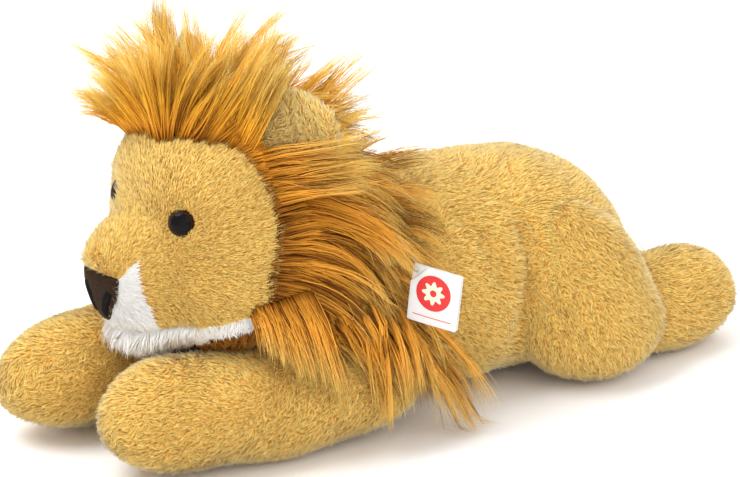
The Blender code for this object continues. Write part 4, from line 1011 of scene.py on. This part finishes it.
def in_mane_space(points):
    """Places beyond the mane's space at their own height, drawn level back to it but for a quarter."""
    axis = points * [0, 0, 1] + [0, MANE_AXIS_Y, 0]
    distance = np.linalg.norm(points - axis, axis=-1)
    rays = (points - axis) / np.maximum(distance, 1e-9)[..., None]
    reach = farthest(lambda places: form_holds(MANE, places), axis, rays)
    beyond = (distance > reach) & (points[..., 2] < MANE_SHOULDER_Z)
    return axis + rays * np.where(beyond, reach + (distance - reach) * KEPT_BEYOND, distance)[..., None]


def off_bags(points, clear):
    points = off_form(points, TORSO, clear)
    points = off_head(points, clear)
    for side in SIDES:
        points = off_form(points, FRONT_LEGS[side], np.minimum(clear, LEG_CLEAR))
        points = off_ear(points, side)
    points = behind_tag(points, TAG_CLEAR)
    points[..., 2] = np.maximum(points[..., 2], HAIR_GAP)
    return points


# %% Locks that fall
FALL_STEPS = 12
DRAWN_OVER_Z = 70 * MM
# Of each step's way, how much of the way before it is carried on.
CARRIED_ON = 0.6


def fall(roots, ways, lengths, weights, lifts, bends, held):
    """Paths of locks, as every second of the short steps in which they fall and bend."""
    step = (lengths / FALL_STEPS)[:, None]
    places = [roots]
    for count in range(1, FALL_STEPS + 1):
        share = count / FALL_STEPS
        ways = unit(ways - UP * (weights * (0.3 + 1.4 * share) / FALL_STEPS)[:, None] + bends / FALL_STEPS)
        goal = places[-1] + ways * step
        goal = off_bags(goal, 1 * MM + lifts * min(1.6 * share, 1))
        drawn = held & (goal[:, 2] > DRAWN_OVER_Z)
        goal = np.where(drawn[:, None], in_mane_space(goal), goal)
        ways = unit(unit(goal - places[-1]) + CARRIED_ON * ways)
        places.append(goal)
    return np.stack(places, 1)[:, ::2]


# %% Strands of a lock
# A lock is this flat, and this share of its width is left at its tip.
LOCK_FLATNESS, LOCK_TIP = 0.5, 0.12
SHORTEST, LONGER = 0.80, 0.2
STRAY, STRAY_MORE, STRAY_FROM = 1.5 * MM, 3.5, 0.95
HAIR_TOP_Z, HAIR_SIDE_X = 270 * MM, 108 * MM
HAIR_ENDS_X = (-116 * MM, 126 * MM)
# Tints of the locks: the dark ones are painted shade in the gaps between locks.
SHADE_LOCK_TINT, SHADE_LOCK_RANGE, LIGHT_TINT, LIGHT_RANGE = 0.12, 0.1, 0.68, 0.2


def strands_of(paths, per_lock, width, radius, tints):
    """Strands of each lock: apart at the root, together at the tip, of unlike lengths. Strands at the sides and under a
    lock get a darker tint, and those on top a lighter one, as painted shade and light.
    """
    locks, steps = paths.shape[:2]
    tangent = unit(np.gradient(paths, axis=1))
    across = unit(np.cross(tangent, unit(paths - HAIR_START)))
    over = np.cross(across, tangent)
    angle = rng.random((locks, per_lock)) * 2 * np.pi
    away = np.sqrt(rng.random((locks, per_lock)))
    share = np.linspace(0, 1, steps)
    narrow = 1 - (1 - LOCK_TIP) * share**1.4
    wide = width * (away * np.cos(angle))[..., None] * narrow
    high = width * (away * np.sin(angle))[..., None] * narrow * LOCK_FLATNESS
    lines = paths[:, None] + across[:, None] * wide[..., None] + over[:, None] * high[..., None]
    cut = (SHORTEST + LONGER * rng.random((locks, per_lock)))[..., None, None]
    at = np.clip(cut * share[:, None] * (steps - 1), 0, steps - 1.001)
    index = at.astype(int)
    before, after = (np.take_along_axis(lines, index + more + 0 * lines.astype(int), 2) for more in (0, 1))
    lines = (before * (1 - (at - index)) + after * (at - index)).reshape(-1, steps, 3)
    stray = rng.normal(size=(len(lines), 1, 3)) * STRAY
    stray = stray * (1 + STRAY_MORE * (rng.random((len(lines), 1, 1)) > STRAY_FROM))
    lines = lines + stray * share[None, :, None] ** 1.5
    taper = (1 - share[:-1] ** 1.5 * 0.8) * (0.75 + 0.25 * np.sin(np.pi * np.minimum(share[:-1] * 1.5, 1)))
    radii = radius * (0.7 + 0.6 * rng.random(len(lines)))[:, None] * taper[None, :]
    # Painted shade and light: strands under a lock and at its sides darker, those on top lighter.
    painted_lock_shade = 0.2 * away * np.sin(angle) - 0.3 * (away * np.cos(angle)) ** 2
    tint = np.clip(np.repeat(tints, per_lock) + painted_lock_shade.ravel() + rng.normal(size=len(lines)) * 0.1, 0, 1)
    return lines, radii, tint


def put_hair(name, strands, body, nodes=(), finish=mane_pile):
    """One piece of hair, numbered 1, from lines, radii and tints, kept within the allowed box."""
    lines, radii, tint = strands
    x, y, z = np.moveaxis(lines, -1, 0)
    lines = np.stack([np.clip(x, *HAIR_ENDS_X), y, np.clip(z, 1.0 * MM, HAIR_TOP_Z + 2 * MM)], -1)
    points, triangles, uv, _ = strand_mesh(lines, radii, tint)
    put_piece(name + "_1", (points, triangles), finish, body, nodes, uv=uv)
    print(name, len(lines), "strands,", len(triangles), "triangles")


def lock_tints(count, shade_share=0.28):
    """Most locks are light, and a share of them is dark: painted shade, as if seen in the gaps between the others."""
    light = LIGHT_TINT + LIGHT_RANGE * rng.normal(size=count)
    in_shade_gap = rng.random(count) < shade_share
    return np.clip(np.where(in_shade_gap, SHADE_LOCK_TINT + SHADE_LOCK_RANGE * rng.random(count), light), 0, 1)


def path_at(places, at):
    """Places on the straight runs between given ones, at counts along them."""
    return np.stack([np.interp(at, np.arange(len(places)), column) for column in zip(*places)], -1)


# %% Roots of the hair
LOCK_SPACING = 6.4 * MM
ROW_LOCKS, COLLAR_LOCKS = 230, 84
COLLAR_SPREAD = mm(2, 2, 5)
COLLAR = mm((70, -122, 98), (76, -104, 95), (80, -80, 92), (80, -56, 92), (76, -34, 92), (72, -24, 80))


def hairline_row(count):
    """Places and outward directions along the hairline, from one jaw over the head to the other."""
    turn = np.radians(np.linspace(-52, 232, count))
    rays = ray_at(hairline_polar(turn) + np.radians(rng.random(count) * 3), turn)
    places = HAIR_START + rays * farthest(head_holds, HAIR_START, rays)[:, None]
    return places - rays * 1.5 * MM, rays


def collar_row(side, count):
    """Roots along a line from the end of the jaw to the shoulder, where the hair falls over the leg."""
    places = path_at(COLLAR, np.sort(rng.random(count)) * (len(COLLAR) - 1))
    places = (places + rng.normal(size=(count, 3)) * COLLAR_SPREAD) * [side, 1, 1]
    return places, np.zeros((count, 3)) + [side, 0, 0]


row = hairline_row(ROW_LOCKS)
crown, crown_out = scatter(HEAD, LOCK_SPACING, head_normals)
scalp = (past_hairline(crown) > 0) & ~form_holds(TORSO, crown) & (crown[:, 2] > 30 * MM)
chest, chest_out = scatter(form_skin(TORSO, 60, 80, -2 * MM), LOCK_SPACING)
rear_limit = HAIR_REAR_Y - 22 * MM * smooth_share(chest[:, 2], 95 * MM, 130 * MM)
bare = (chest[:, 1] < rear_limit) & (chest[:, 2] > 22 * MM) & ~head_holds(chest)
for side in SIDES:
    bare &= ~form_holds(FRONT_LEGS[side], chest, 2 * MM)
groups = [row, (crown[scalp], crown_out[scalp]), (chest[bare], chest_out[bare]),
          *(collar_row(side, COLLAR_LOCKS) for side in SIDES)]
roots, roots_out = (np.concatenate(columns) for columns in zip(*groups))
group = np.repeat(np.arange(len(groups)), [len(places) for places, _ in groups])
on_chest, on_collar = group == 2, group > 2
print("locks on the hairline, the crown, the chest and the two collars:", *np.bincount(group))

# %% Ways of the hair
# Slope of the swept hair by height in mm, then the fan on top by place across in mm.
SLOPES = ((30, -2.2), (80, -1.9), (107, -1.5), (122, -0.75), (133, -0.55), (150, -0.34), (169, -0.18),
          (186, 0.02), (200, 0.3))
FAN = ((-62, -0.6, 0.3, 0.5), (-40, -0.6, -0.4, 0.65), (-25, -0.45, -0.5, 0.65), (6, 0.05, -0.12, 1.0),
       (17, 0.15, 0.15, 1.0), (27, 0.25, 0.62, 0.78), (41, 0.2, 0.88, 0.42), (55, 0.15, 1.0, 0.0))
TOP_FROM_Z, TOP_TO_Z = 170 * MM, 192 * MM
REAR_FROM_Y, REAR_TO_Y = -128 * MM, -92 * MM


def first_ways(roots, outward):
    """The way that hair takes at its root: fanned out on top by a table, and back and down elsewhere."""
    x, y, z = roots.T
    top = smooth_share(z, TOP_FROM_Z, TOP_TO_Z)
    rear = smooth_share(y, REAR_FROM_Y, REAR_TO_Y)
    across, *parts = np.array(FAN).T
    fan = unit(np.stack([np.interp(x, across * MM, part) for part in parts], -1))
    fan = fan + np.stack([0 * x, 0.85 * rear, 0.1 * rear], -1)
    heights, slopes = np.array(SLOPES).T
    slope = np.interp(z, heights * MM, slopes)
    slope = slope * (1 - 0.5 * smooth_share(y, -95 * MM, -55 * MM) * (slope < 0))
    swept = np.stack([x / (400 * MM), 1.0 + 0 * x, slope], -1) + outward * 0.18
    ways = unit(fan) * top[:, None] + unit(swept) * (1 - top)[:, None]
    drift = clumps(roots, 26 * MM) * (0.12 + 0.08 * top)[:, None]
    return unit(ways + drift + rng.normal(size=ways.shape) * (0.06 + 0.03 * top)[:, None]), top


# %% Lengths, weights and lifts of the locks
# In mm: locks of the chest and how much longer they are at the side, of the collar and how
# much shorter they are behind, and all others.
CHEST_LENGTH, SIDE_MORE, COLLAR_LENGTH, REAR_LESS, OTHER_LENGTH = 62, 68, 88, 26, 94
WISP_SHARE, WISP_MORE = 0.16, 1.3
COLLAR_WEIGHT, SIDE_WEIGHT, TOP_WEIGHT = 3.4, 1.5, 0.25
ways, top = first_ways(roots, roots_out)
count = len(roots)
x, y, z = roots.T
out_and_down = roots_out + np.array([0, 0.3, -0.45]) + rng.normal(size=ways.shape) * 0.12
ways = np.where(on_collar[:, None], unit(out_and_down), ways)
aside = smooth_share(np.abs(x), 35 * MM, 60 * MM) * smooth_share(-z, -125 * MM, -85 * MM)
rear_collar = smooth_share(y, -70 * MM, -28 * MM)
lengths = np.where(on_collar, COLLAR_LENGTH - REAR_LESS * rear_collar, OTHER_LENGTH)
lengths = np.where(on_chest, CHEST_LENGTH + SIDE_MORE * aside, lengths)
lengths = lengths * (0.86 + 0.22 * rng.random(count)) * MM
lengths = lengths * (1 - top * (0.04 + 0.34 * rng.random(count)))
far_front = smooth_share(-x, -2 * MM, 26 * MM) * smooth_share(-y, 118 * MM, 140 * MM) * top
lengths = lengths * (1 - 0.42 * far_front)
wisps = on_chest & (rng.random(count) < WISP_SHARE)
lengths = np.where(wisps, lengths * WISP_MORE, lengths)
weights = np.where(on_collar, COLLAR_WEIGHT, SIDE_WEIGHT * (1 - top) + TOP_WEIGHT * top)
lifts = (2 + 22 * rng.random(count) ** 1.2) * MM * (1 - top)
print("locks", lengths.min().round(3), "to", lengths.max().round(3), "m long")

# %% Crest and mane
bends = clumps(roots, 34 * MM) * 1.3 + rng.normal(size=ways.shape) * 0.4
bends = bends * (0.35 + 0.25 * top)[:, None]
paths = fall(roots, ways, lengths, weights, lifts, bends, top < 0.5)
reach = np.abs(paths - roots[:, None]).max(1)
room = np.stack([HAIR_SIDE_X - np.abs(x), HAIR_TOP_Z - z], -1)
shrink = np.minimum(1, (room / np.maximum(reach[:, ::2], 1 * MM)).min(1))
paths = roots[:, None] + (paths - roots[:, None]) * shrink[:, None, None]
tints = lock_tints(count)
# Painted light: locks on top, and more so those at the front of the right side, get a paler tint.
painted_light_front = top * smooth_share(-x, -14 * MM, 16 * MM)
tints = np.clip(tints + 0.14 * top + 0.35 * painted_light_front, 0, 1)
on_top, ahead = top > 0.35, y < -112 * MM
behind = (np.abs(x) < 40 * MM) & ~on_top
beside = {side: ~on_top & ~behind & (x * side > 0) for side in SIDES}
BOTH = ("torso", "head")
for name, chosen, per_lock, width, radius, body, nodes, finish in (
    ("crest_hair_front", on_top & ahead, 20, 5.0, 0.34, "head", ["mane_crest"], crest_pile),
    ("crest_hair_rear", on_top & ~ahead, 18, 5.5, 0.38, "head", [], crest_pile),
    ("cape_hair", behind, 12, 6.5, 0.45, BOTH, ["mane_cape"], mane_pile),
    ("mane_hair_left", beside[LEFT], 14, 4.2, 0.44, BOTH, ["mane_left"], mane_pile),
    ("mane_hair_right", beside[RIGHT], 14, 4.2, 0.44, BOTH, ["mane_right"], mane_pile),
):
    put_hair(name, strands_of(paths[chosen], per_lock, width * MM, radius * MM, tints[chosen]), body, nodes, finish)

# %% [markdown]
# ## Laid locks
# Where the photo shows single locks, they fill the band between two curves, whose places
# are given in millimetres on the left side and mirrored to the right.

# %% Locks between two curves
LAID = (
    ("thread_hair", [LEFT], 18, mane_pile, BOTH, 4.5,
     ((58, -90, 168), (80, -66, 163), (93, -49, 152), (101, -38, 138), (104, -34, 128), (104, -33, 121)),
     ((60, -92, 154), (80, -68, 150), (92, -50, 141), (99, -40, 130), (102, -35, 122), (102, -34, 115))),
    ("jaw_hair", SIDES, 64, mane_pile, BOTH, 4.6,
     ((72, -124, 106), (80, -126, 100), (86, -127, 90), (89, -128, 80)),
     ((78, -90, 112), (93, -86, 94), (100, -80, 66), (99, -72, 36))),
    ("temple_hair", SIDES, 24, crest_pile, "head", 5.0,
     ((27, -114, 195), (40, -112, 217), (55, -109, 240), (68, -102, 265)),
     ((33, -109, 185), (55, -109, 211), (68, -105, 234), (80, -96, 262))),
    ("under_ear_hair", SIDES, 30, mane_pile, "head", 4.6,
     ((38, -106, 186), (65, -102, 199), (83, -93, 203), (99, -78, 207), (111, -60, 210)),
     ((47, -102, 158), (69, -97, 169), (88, -89, 177), (101, -74, 181), (110, -56, 182))),
)


def laid_locks(first, second, count):
    """Locks that fill the band between two curves: each a mix of both, cut to its own length."""
    share = np.linspace(0, 1, 7)
    one, other = (path_at(places, share * (len(places) - 1)) for places in (first, second))
    between = ((np.arange(count) + rng.random(count)) / count)[:, None, None]
    band = (one * (1 - between) + other * between) * MM
    cut = rng.uniform(0.8, 1.05, count)[:, None, None]
    stray = rng.normal(size=(count, 1, 3)) * 3 * MM * share[None, :, None]
    return band[:, :1] + (band - band[:, :1]) * cut + stray


for name, sides, count, finish, body, width, first, second in LAID:
    for side in sides:
        laid = laid_locks(first, second, count) * [side, 1, 1]
        strands = strands_of(laid, 16, width * MM, 0.38 * MM, lock_tints(count, 0.14))
        put_hair(side_name(name, side), strands, body, finish=finish)

# %% [markdown]
# ## Nose and eyes
# The nose is a patch of short velour sewn on over a little filling, so it is a shallow
# pillow with a rolled edge. The eyes are polished domes whose shanks pass through the cloth.

# %% Patches that lie on the front of the head
def rounded_outline(corners, radius, per_corner=8):
    """Corner places with each corner cut by an arc: two edges blended by a quadratic curve."""
    corners = np.array(corners, dtype=float)
    before, after = np.roll(corners, 1, axis=0), np.roll(corners, -1, axis=0)
    share = np.linspace(0, 1, per_corner)[None, :, None]
    start = corners + unit(before - corners) * radius
    end = corners + unit(after - corners) * radius
    curve = start[:, None] * (1 - share) ** 2 + corners[:, None] * 2 * share * (1 - share) + end[:, None] * share**2
    return curve.reshape(-1, 2)


def even_outline(outline, count):
    """The same closed outline with count places at equal distances along it."""
    closed = np.concatenate([outline, outline[:1]])
    run = np.append(0, np.cumsum(np.linalg.norm(np.diff(closed, axis=0), axis=1)))
    at = np.linspace(0, run[-1], count, endpoint=False)
    return np.stack([np.interp(at, run, closed[:, 0]), np.interp(at, run, closed[:, 1])], -1)


def face_patch(outline, height, depth, rings=22):
    """A pillow on the head's front: rings of the outline shrunk to its middle.

    Its front stands height * (1 - share ** 6) ** 0.5 off the head at each share of the way
    to the rim, and its back lies depth under it.
    """
    middle = outline.mean(0)
    shares = np.linspace(0.04, 1, rings)
    lift = np.append(height * np.sqrt(1 - shares**6), [-depth, -depth])
    places = middle + (outline - middle)[None] * np.append(shares, [1, 0.5])[:, None, None]
    surface, outward = head_front(places[..., 0], places[..., 1])
    centre, centre_out = head_front(middle[:1], middle[1:])
    skin = surface + outward * lift[:, None, None]
    return closed_rings(skin, centre[0] + centre_out[0] * height, centre[0] - centre_out[0] * depth)


# %% Nose
NOSE_CORNERS = mm((-20, 120), (-20, 110), (-4, 90), (5, 90), (18, 108), (20.5, 122))
nose_velour = cloth_material("nose_velour", (0.028, 0.014, 0.008), (0.085, 0.045, 0.026), 0.7 * MM, 0.3 * MM,
                             specular=0.1)
# Black patches on the lower sides of the nose.
nostril_black = cloth_material("nostril_black", (0.002, 0.002, 0.002), (0.008, 0.006, 0.006), 0.6 * MM, specular=0.1)


def before_head(roots):
    return roots[:, 1] < head_front(roots[:, 0], roots[:, 2])[0][:, 1] + 0.2 * MM


nose = face_patch(even_outline(rounded_outline(NOSE_CORNERS, 4 * MM), 90), 1.6 * MM, 3 * MM)
put_piece("nose_patch", nose, nose_velour, "head", ["nose"])
put_pile("nose_fuzz", nose, before_head, lambda r: 0 * r + [0, 0, -1], brown_pile, "head", "nose_velour",
         length=1.2 * MM, spacing=0.55 * MM, lean=0.6, radius=0.22 * MM)
for side in SIDES:
    corners = mm((side * 17.5, 112), (side * 12, 114), (side * 6.5, 107), (side * 2, 95), (side * 5.5, 92))
    nostril = face_patch(even_outline(rounded_outline(corners, 1.5 * MM), 40), 2.7 * MM, 1 * MM, 10)
    put_piece(side_name("nostril", side), nostril, nostril_black, "head")


# %% Eyes
EYE_OUTWARDS = np.array([0.45, 0, 0.18])
EYE_SINK = {LEFT: 4.0 * MM, RIGHT: 5.2 * MM}
EYE_PUPIL = 0.74
BLACK_LOW, BLACK_LIFT, RIM_LOW, RIM_TOP = 1 * MM, 0.15 * MM, -3 * MM, EYE_DOME * 0.6


def spun(profile, place, axis, sides=64):
    """A profile of (radius, height) pairs spun about an axis. It starts and ends on the axis."""
    across = unit(np.cross(axis, UP))
    up = np.cross(axis, across)
    turn = full_turn(sides)[:, None]
    rim = np.cos(turn) * across + np.sin(turn) * up
    profile = np.array(profile)
    rings = place + profile[1:-1, 0, None, None] * rim + profile[1:-1, 1, None, None] * axis
    return closed_rings(rings, place + profile[0, 1] * axis, place + profile[-1, 1] * axis)


def dome_arc(start, end, count, lift=0.0):
    """Pairs along the dome's outline, between two angles from its axis."""
    return [(EYE_RADIUS * np.sin(turn), lift + EYE_DOME * np.cos(turn)) for turn in np.linspace(start, end, count)]


eye_black = gloss_material("eye_black", (0.004, 0.003, 0.0025), 0.05, 0.1)
eye_brown = gloss_material("eye_brown", (0.022, 0.010, 0.004), 0.30, 0.1)
edge = np.arcsin(EYE_PUPIL)
black = [(0, BLACK_LOW), (EYE_RADIUS * EYE_PUPIL, BLACK_LOW)] + dome_arc(edge, 0, 12, BLACK_LIFT)
brown = [(0, RIM_LOW), (EYE_RADIUS, RIM_LOW)] + dome_arc(np.radians(90), edge, 10) + [(0, RIM_TOP)]
for side in SIDES:
    place, facing = eye_places[side]
    facing = unit(facing + EYE_OUTWARDS * [side, 1, 1])
    base = place - facing * EYE_SINK[side]
    put_piece(side_name("eye_dome", side), spun(black, base, facing), eye_black, "head",
              [side_name("eye", side)])
    put_piece(side_name("eye_rim", side), spun(brown, base, facing), eye_brown, "head")
print("eyes", 2 * EYE_RADIUS, "m across")

# %% [markdown]
# ## Ears
# An ear is two rounded pieces of plush sewn face to face. Its front is a little cupped.

# %% Ears
EAR_HALF_WIDTH, EAR_HALF_THICKNESS, EAR_BLUNT, EAR_CUP = 25 * MM, 4.6 * MM, 2.4, 2.0 * MM


def ear_skin(side, rings=46, sides=72):
    """Ellipses from base to tip, closed by a blunt profile, their front pushed in at the middle."""
    base, tip, across, facing = ear_frame(side)
    along = end_spaced(rings)[:, None, None]
    turn = full_turn(sides)[None, :, None]
    end = (1 - np.abs(2 * along - 1) ** EAR_BLUNT) ** (1 / EAR_BLUNT)
    narrow = 0.55 + 0.48 * smooth_share(along, 0.1, 0.62)
    wide, thick = EAR_HALF_WIDTH * end * narrow * np.cos(turn), EAR_HALF_THICKNESS * end * np.sin(turn)
    cup = EAR_CUP * (1 - (wide / EAR_HALF_WIDTH) ** 2) * np.sin(np.pi * along)
    return closed_rings(base + (tip - base) * along + across * wide + facing * (thick - cup), base, tip)


for side in SIDES:
    skin, ear = ear_skin(side), side_name("ear", side)
    put_piece(side_name("ear_bag", side), skin, pale_cloth, ear, [ear])
    put_pile(side_name("ear_bag_pile", side), skin, lambda r: r[:, 2] > 170 * MM, nap_of((0, 0.4, 1), 31), pale_pile,
             ear, "golden_plush", length=6.5 * MM, spacing=0.95 * MM, lean=1.0, steps=3, radius=0.40 * MM,
             scatter_by=0.22)

# %% [markdown]
# ## Tail
# The tail is a thin stuffed tube, sewn on behind and laid round to the right. It ends in a
# tassel of the same long pile as the mane.

# %% Tail and tassel
TAIL_RADIUS = 8.2 * MM
TAIL_PLACES = mm((0, 186, 86), (0, 203, 46), (0, 226, 12.5), (-12, 244, 9.5), (-38, 253, 9.5))
TASSEL_ROOT, TASSEL_TIP = mm(-34, 253, 11), mm(-84, 253, 8)
TASSEL_LOCKS = 90


def smooth_path(places, count):
    """A smooth curve through the given places (Catmull-Rom): a cubic between each two neighbours."""
    padded = np.concatenate([[2 * places[0] - places[1]], places, [2 * places[-1] - places[-2]]])
    at = np.linspace(0, len(places) - 1, count)
    index = np.minimum(at.astype(int), len(places) - 2)
    t = (at - index)[:, None]
    a, b, c, d = (padded[index + k] for k in range(4))
    return ((2 * b) + (c - a) * t + (2 * a - 5 * b + 4 * c - d) * t**2 + (3 * b - a - 3 * c + d) * t**3) / 2


def tube_skin(path, radii, sides):
    """Circles round a path, each square to it, closed to a point at each end."""
    tangent = unit(np.gradient(path, axis=0))
    across = unit(np.cross(tangent, ODD_WAY))
    up = np.cross(tangent, across)
    turn = full_turn(sides)[None, :, None]
    rings = path[:, None] + radii[:, None, None] * (np.cos(turn) * across[:, None] + np.sin(turn) * up[:, None])
    return closed_rings(rings, path[0] - tangent[0] * radii[0] * 0.3, path[-1] + tangent[-1] * radii[-1] * 0.3)


radii = TAIL_RADIUS * np.sqrt(np.clip(1 - (2 * np.linspace(0, 1, 60) - 1) ** 12, 0.2, 1))
points, triangles = tube_skin(smooth_path(TAIL_PLACES, 60), radii, 40)
tail = (resting(points), triangles)
put_piece("tail_bag", tail, golden_cloth, "tail", ["tail"])
put_pile("tail_bag_pile", tail, off_floor, nap_of((-0.5, 0.5, -1), 41), golden_pile, "tail", "golden_plush",
         length=3.6 * MM)

# The tassel's locks leave the tail's end in all directions and close again to one tip.
turn = rng.random(TASSEL_LOCKS) * 2 * np.pi
away = np.sqrt(rng.random(TASSEL_LOCKS))[:, None, None]
share = np.linspace(0, 1, 7)[None, :, None]
middle = TASSEL_ROOT + (TASSEL_TIP - TASSEL_ROOT) * share * (0.75 + 0.3 * rng.random(TASSEL_LOCKS))[:, None, None]
rim = np.stack([0 * turn, np.cos(turn), np.sin(turn)], -1)[:, None]
tassel = middle + rim * ((4 + 9 * np.sin(np.pi * share**0.7)) * MM * away)
tassel[..., 2] = np.maximum(tassel[..., 2], HAIR_GAP)
put_hair("tassel_hair", strands_of(tassel, 12, 3 * MM, 0.4 * MM, lock_tints(TASSEL_LOCKS)), "tail", ["tail_tassel"])

# %% [markdown]
# ## Tag
# The tag is a small booklet of card on a plastic thread. Its leaves are thin closed sheets
# with rounded rims, and its print is a plain rosette and a line.

# %% Tag
CARD_RIM, PRINT_BOW = 0.12 * MM, 0.5 * MM
PRINT_MIDDLE = mm(-0.5, 3.0)


def tag_place(flat, out_by):
    """Places by their distance across, up and out from the tag's middle."""
    return TAG_CENTRE + TAG_ACROSS * flat[..., :1] + TAG_UP * flat[..., 1:] + TAG_FACING * out_by[..., None]


def card_skin(outline, back, front, bow):
    """A sheet between two levels: rings of its outline, shrunk to the middle on each face."""
    edge = min(CARD_RIM, (front - back) / 3)
    shares = np.array([0.3, 0.6, 0.85, 0.985, 1, 1, 0.985, 0.85, 0.6, 0.3])
    levels = np.array([back] * 4 + [back + edge, front - edge] + [front] * 4)
    middle = outline.mean(0)
    flat = middle + (outline - middle) * shares[:, None, None]
    rings = tag_place(flat, levels[:, None] + bow * (1 - (flat[..., 0] / TAG_HALF[0]) ** 2))
    return closed_rings(rings, *(tag_place(middle, np.array(level + bow)) for level in (back, front)))


def leaf_outline(clip, inset=0.0):
    half, tall = TAG_HALF - inset
    corners = [(-half, -tall), (half, -tall), (half, tall), (-half + clip, tall), (-half, tall - clip)]
    return even_outline(rounded_outline(corners, 0.7 * MM), 120)


def disc_outline(centre, radius, waves=0, wave_depth=0.0, count=96):
    """A circle, or with waves a rosette whose radius swells and shrinks that many times round."""
    turn = full_turn(count)
    size = radius * (1 + wave_depth * np.cos(waves * turn))
    return centre + size[:, None] * np.stack([np.cos(turn), np.sin(turn)], -1)


def card(name, dark, light, depth, roughness, specular=0.5):
    return cloth_material(name, dark, light, 0.5 * MM, depth * MM, roughness, specular)


white = card("card_white", (0.69, 0.69, 0.68), (0.72, 0.72, 0.71), 0.02, 0.45, 0.1)
grey = card("card_grey", (0.50, 0.50, 0.50), (0.66, 0.66, 0.65), 0.02, 0.6, 0.1)
red = card("print_red", (0.60, 0.010, 0.012), (0.70, 0.018, 0.018), 0.01, 0.4)
cream = card("print_cream", (0.90, 0.80, 0.55), (0.95, 0.86, 0.62), 0.01, 0.4)
line = even_outline(rounded_outline(mm((-13, -13.4), (13, -13.4), (13, -12.9), (-13, -12.9)), 0.1 * MM), 80)
rosette = disc_outline(PRINT_MIDDLE, 6.3 * MM, 8, 0.22)
for name, outline, back, front, bow, finish, body, nodes in (
    ("tag_back", leaf_outline(1 * MM), -2.0, -1.5, 0, white, "tag", ["tag_book"]),
    ("tag_page_1", leaf_outline(1 * MM, 0.5 * MM), -1.42, -1.0, 0, white, "tag", []),
    ("tag_page_2", leaf_outline(1 * MM, 0.4 * MM), -0.92, -0.5, 0, grey, "tag", []),
    ("tag_page_3", leaf_outline(1 * MM, 0.3 * MM), -0.42, 0.0, 0, white, "tag", []),
    ("tag_front", leaf_outline(11 * MM), 0.4, 1.0, PRINT_BOW, white, "tag_cover", ["tag_cover"]),
    ("print_disc", disc_outline(PRINT_MIDDLE, 11.5 * MM), 1.0, 1.06, PRINT_BOW, red, "tag_cover", []),
    ("print_rosette", rosette, 1.06, 1.1, PRINT_BOW, cream, "tag_cover", []),
    ("print_middle", disc_outline(PRINT_MIDDLE, 2.2 * MM), 1.1, 1.14, PRINT_BOW, red, "tag_cover", []),
    ("print_line", line, 1.0, 1.06, PRINT_BOW, red, "tag_cover", []),
):
    put_piece(name, card_skin(outline, back * MM, front * MM, bow), finish, body, nodes)

# %% [markdown]
# ## Parts of the frame that stay
# The washers behind the eyes and the thread of the tag keep their solids. The washers get
# the finish of moulded plastic and the thread a clear nylon.

# %% Finishes of the frame's own parts
moulded = gloss_material("moulded_plastic", (0.70, 0.70, 0.68), 0.32)
clear_nylon = gloss_material("clear_nylon", (0.78, 0.74, 0.66), 0.12, clear=0.92)
for node, finish in (("eye_washer_left", moulded), ("eye_washer_right", moulded), ("tag_loop", clear_nylon)):
    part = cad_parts[node]
    part.data.materials.clear()
    part.data.materials.append(finish)
print("kept solids: the eyes' washers and the tag's thread")
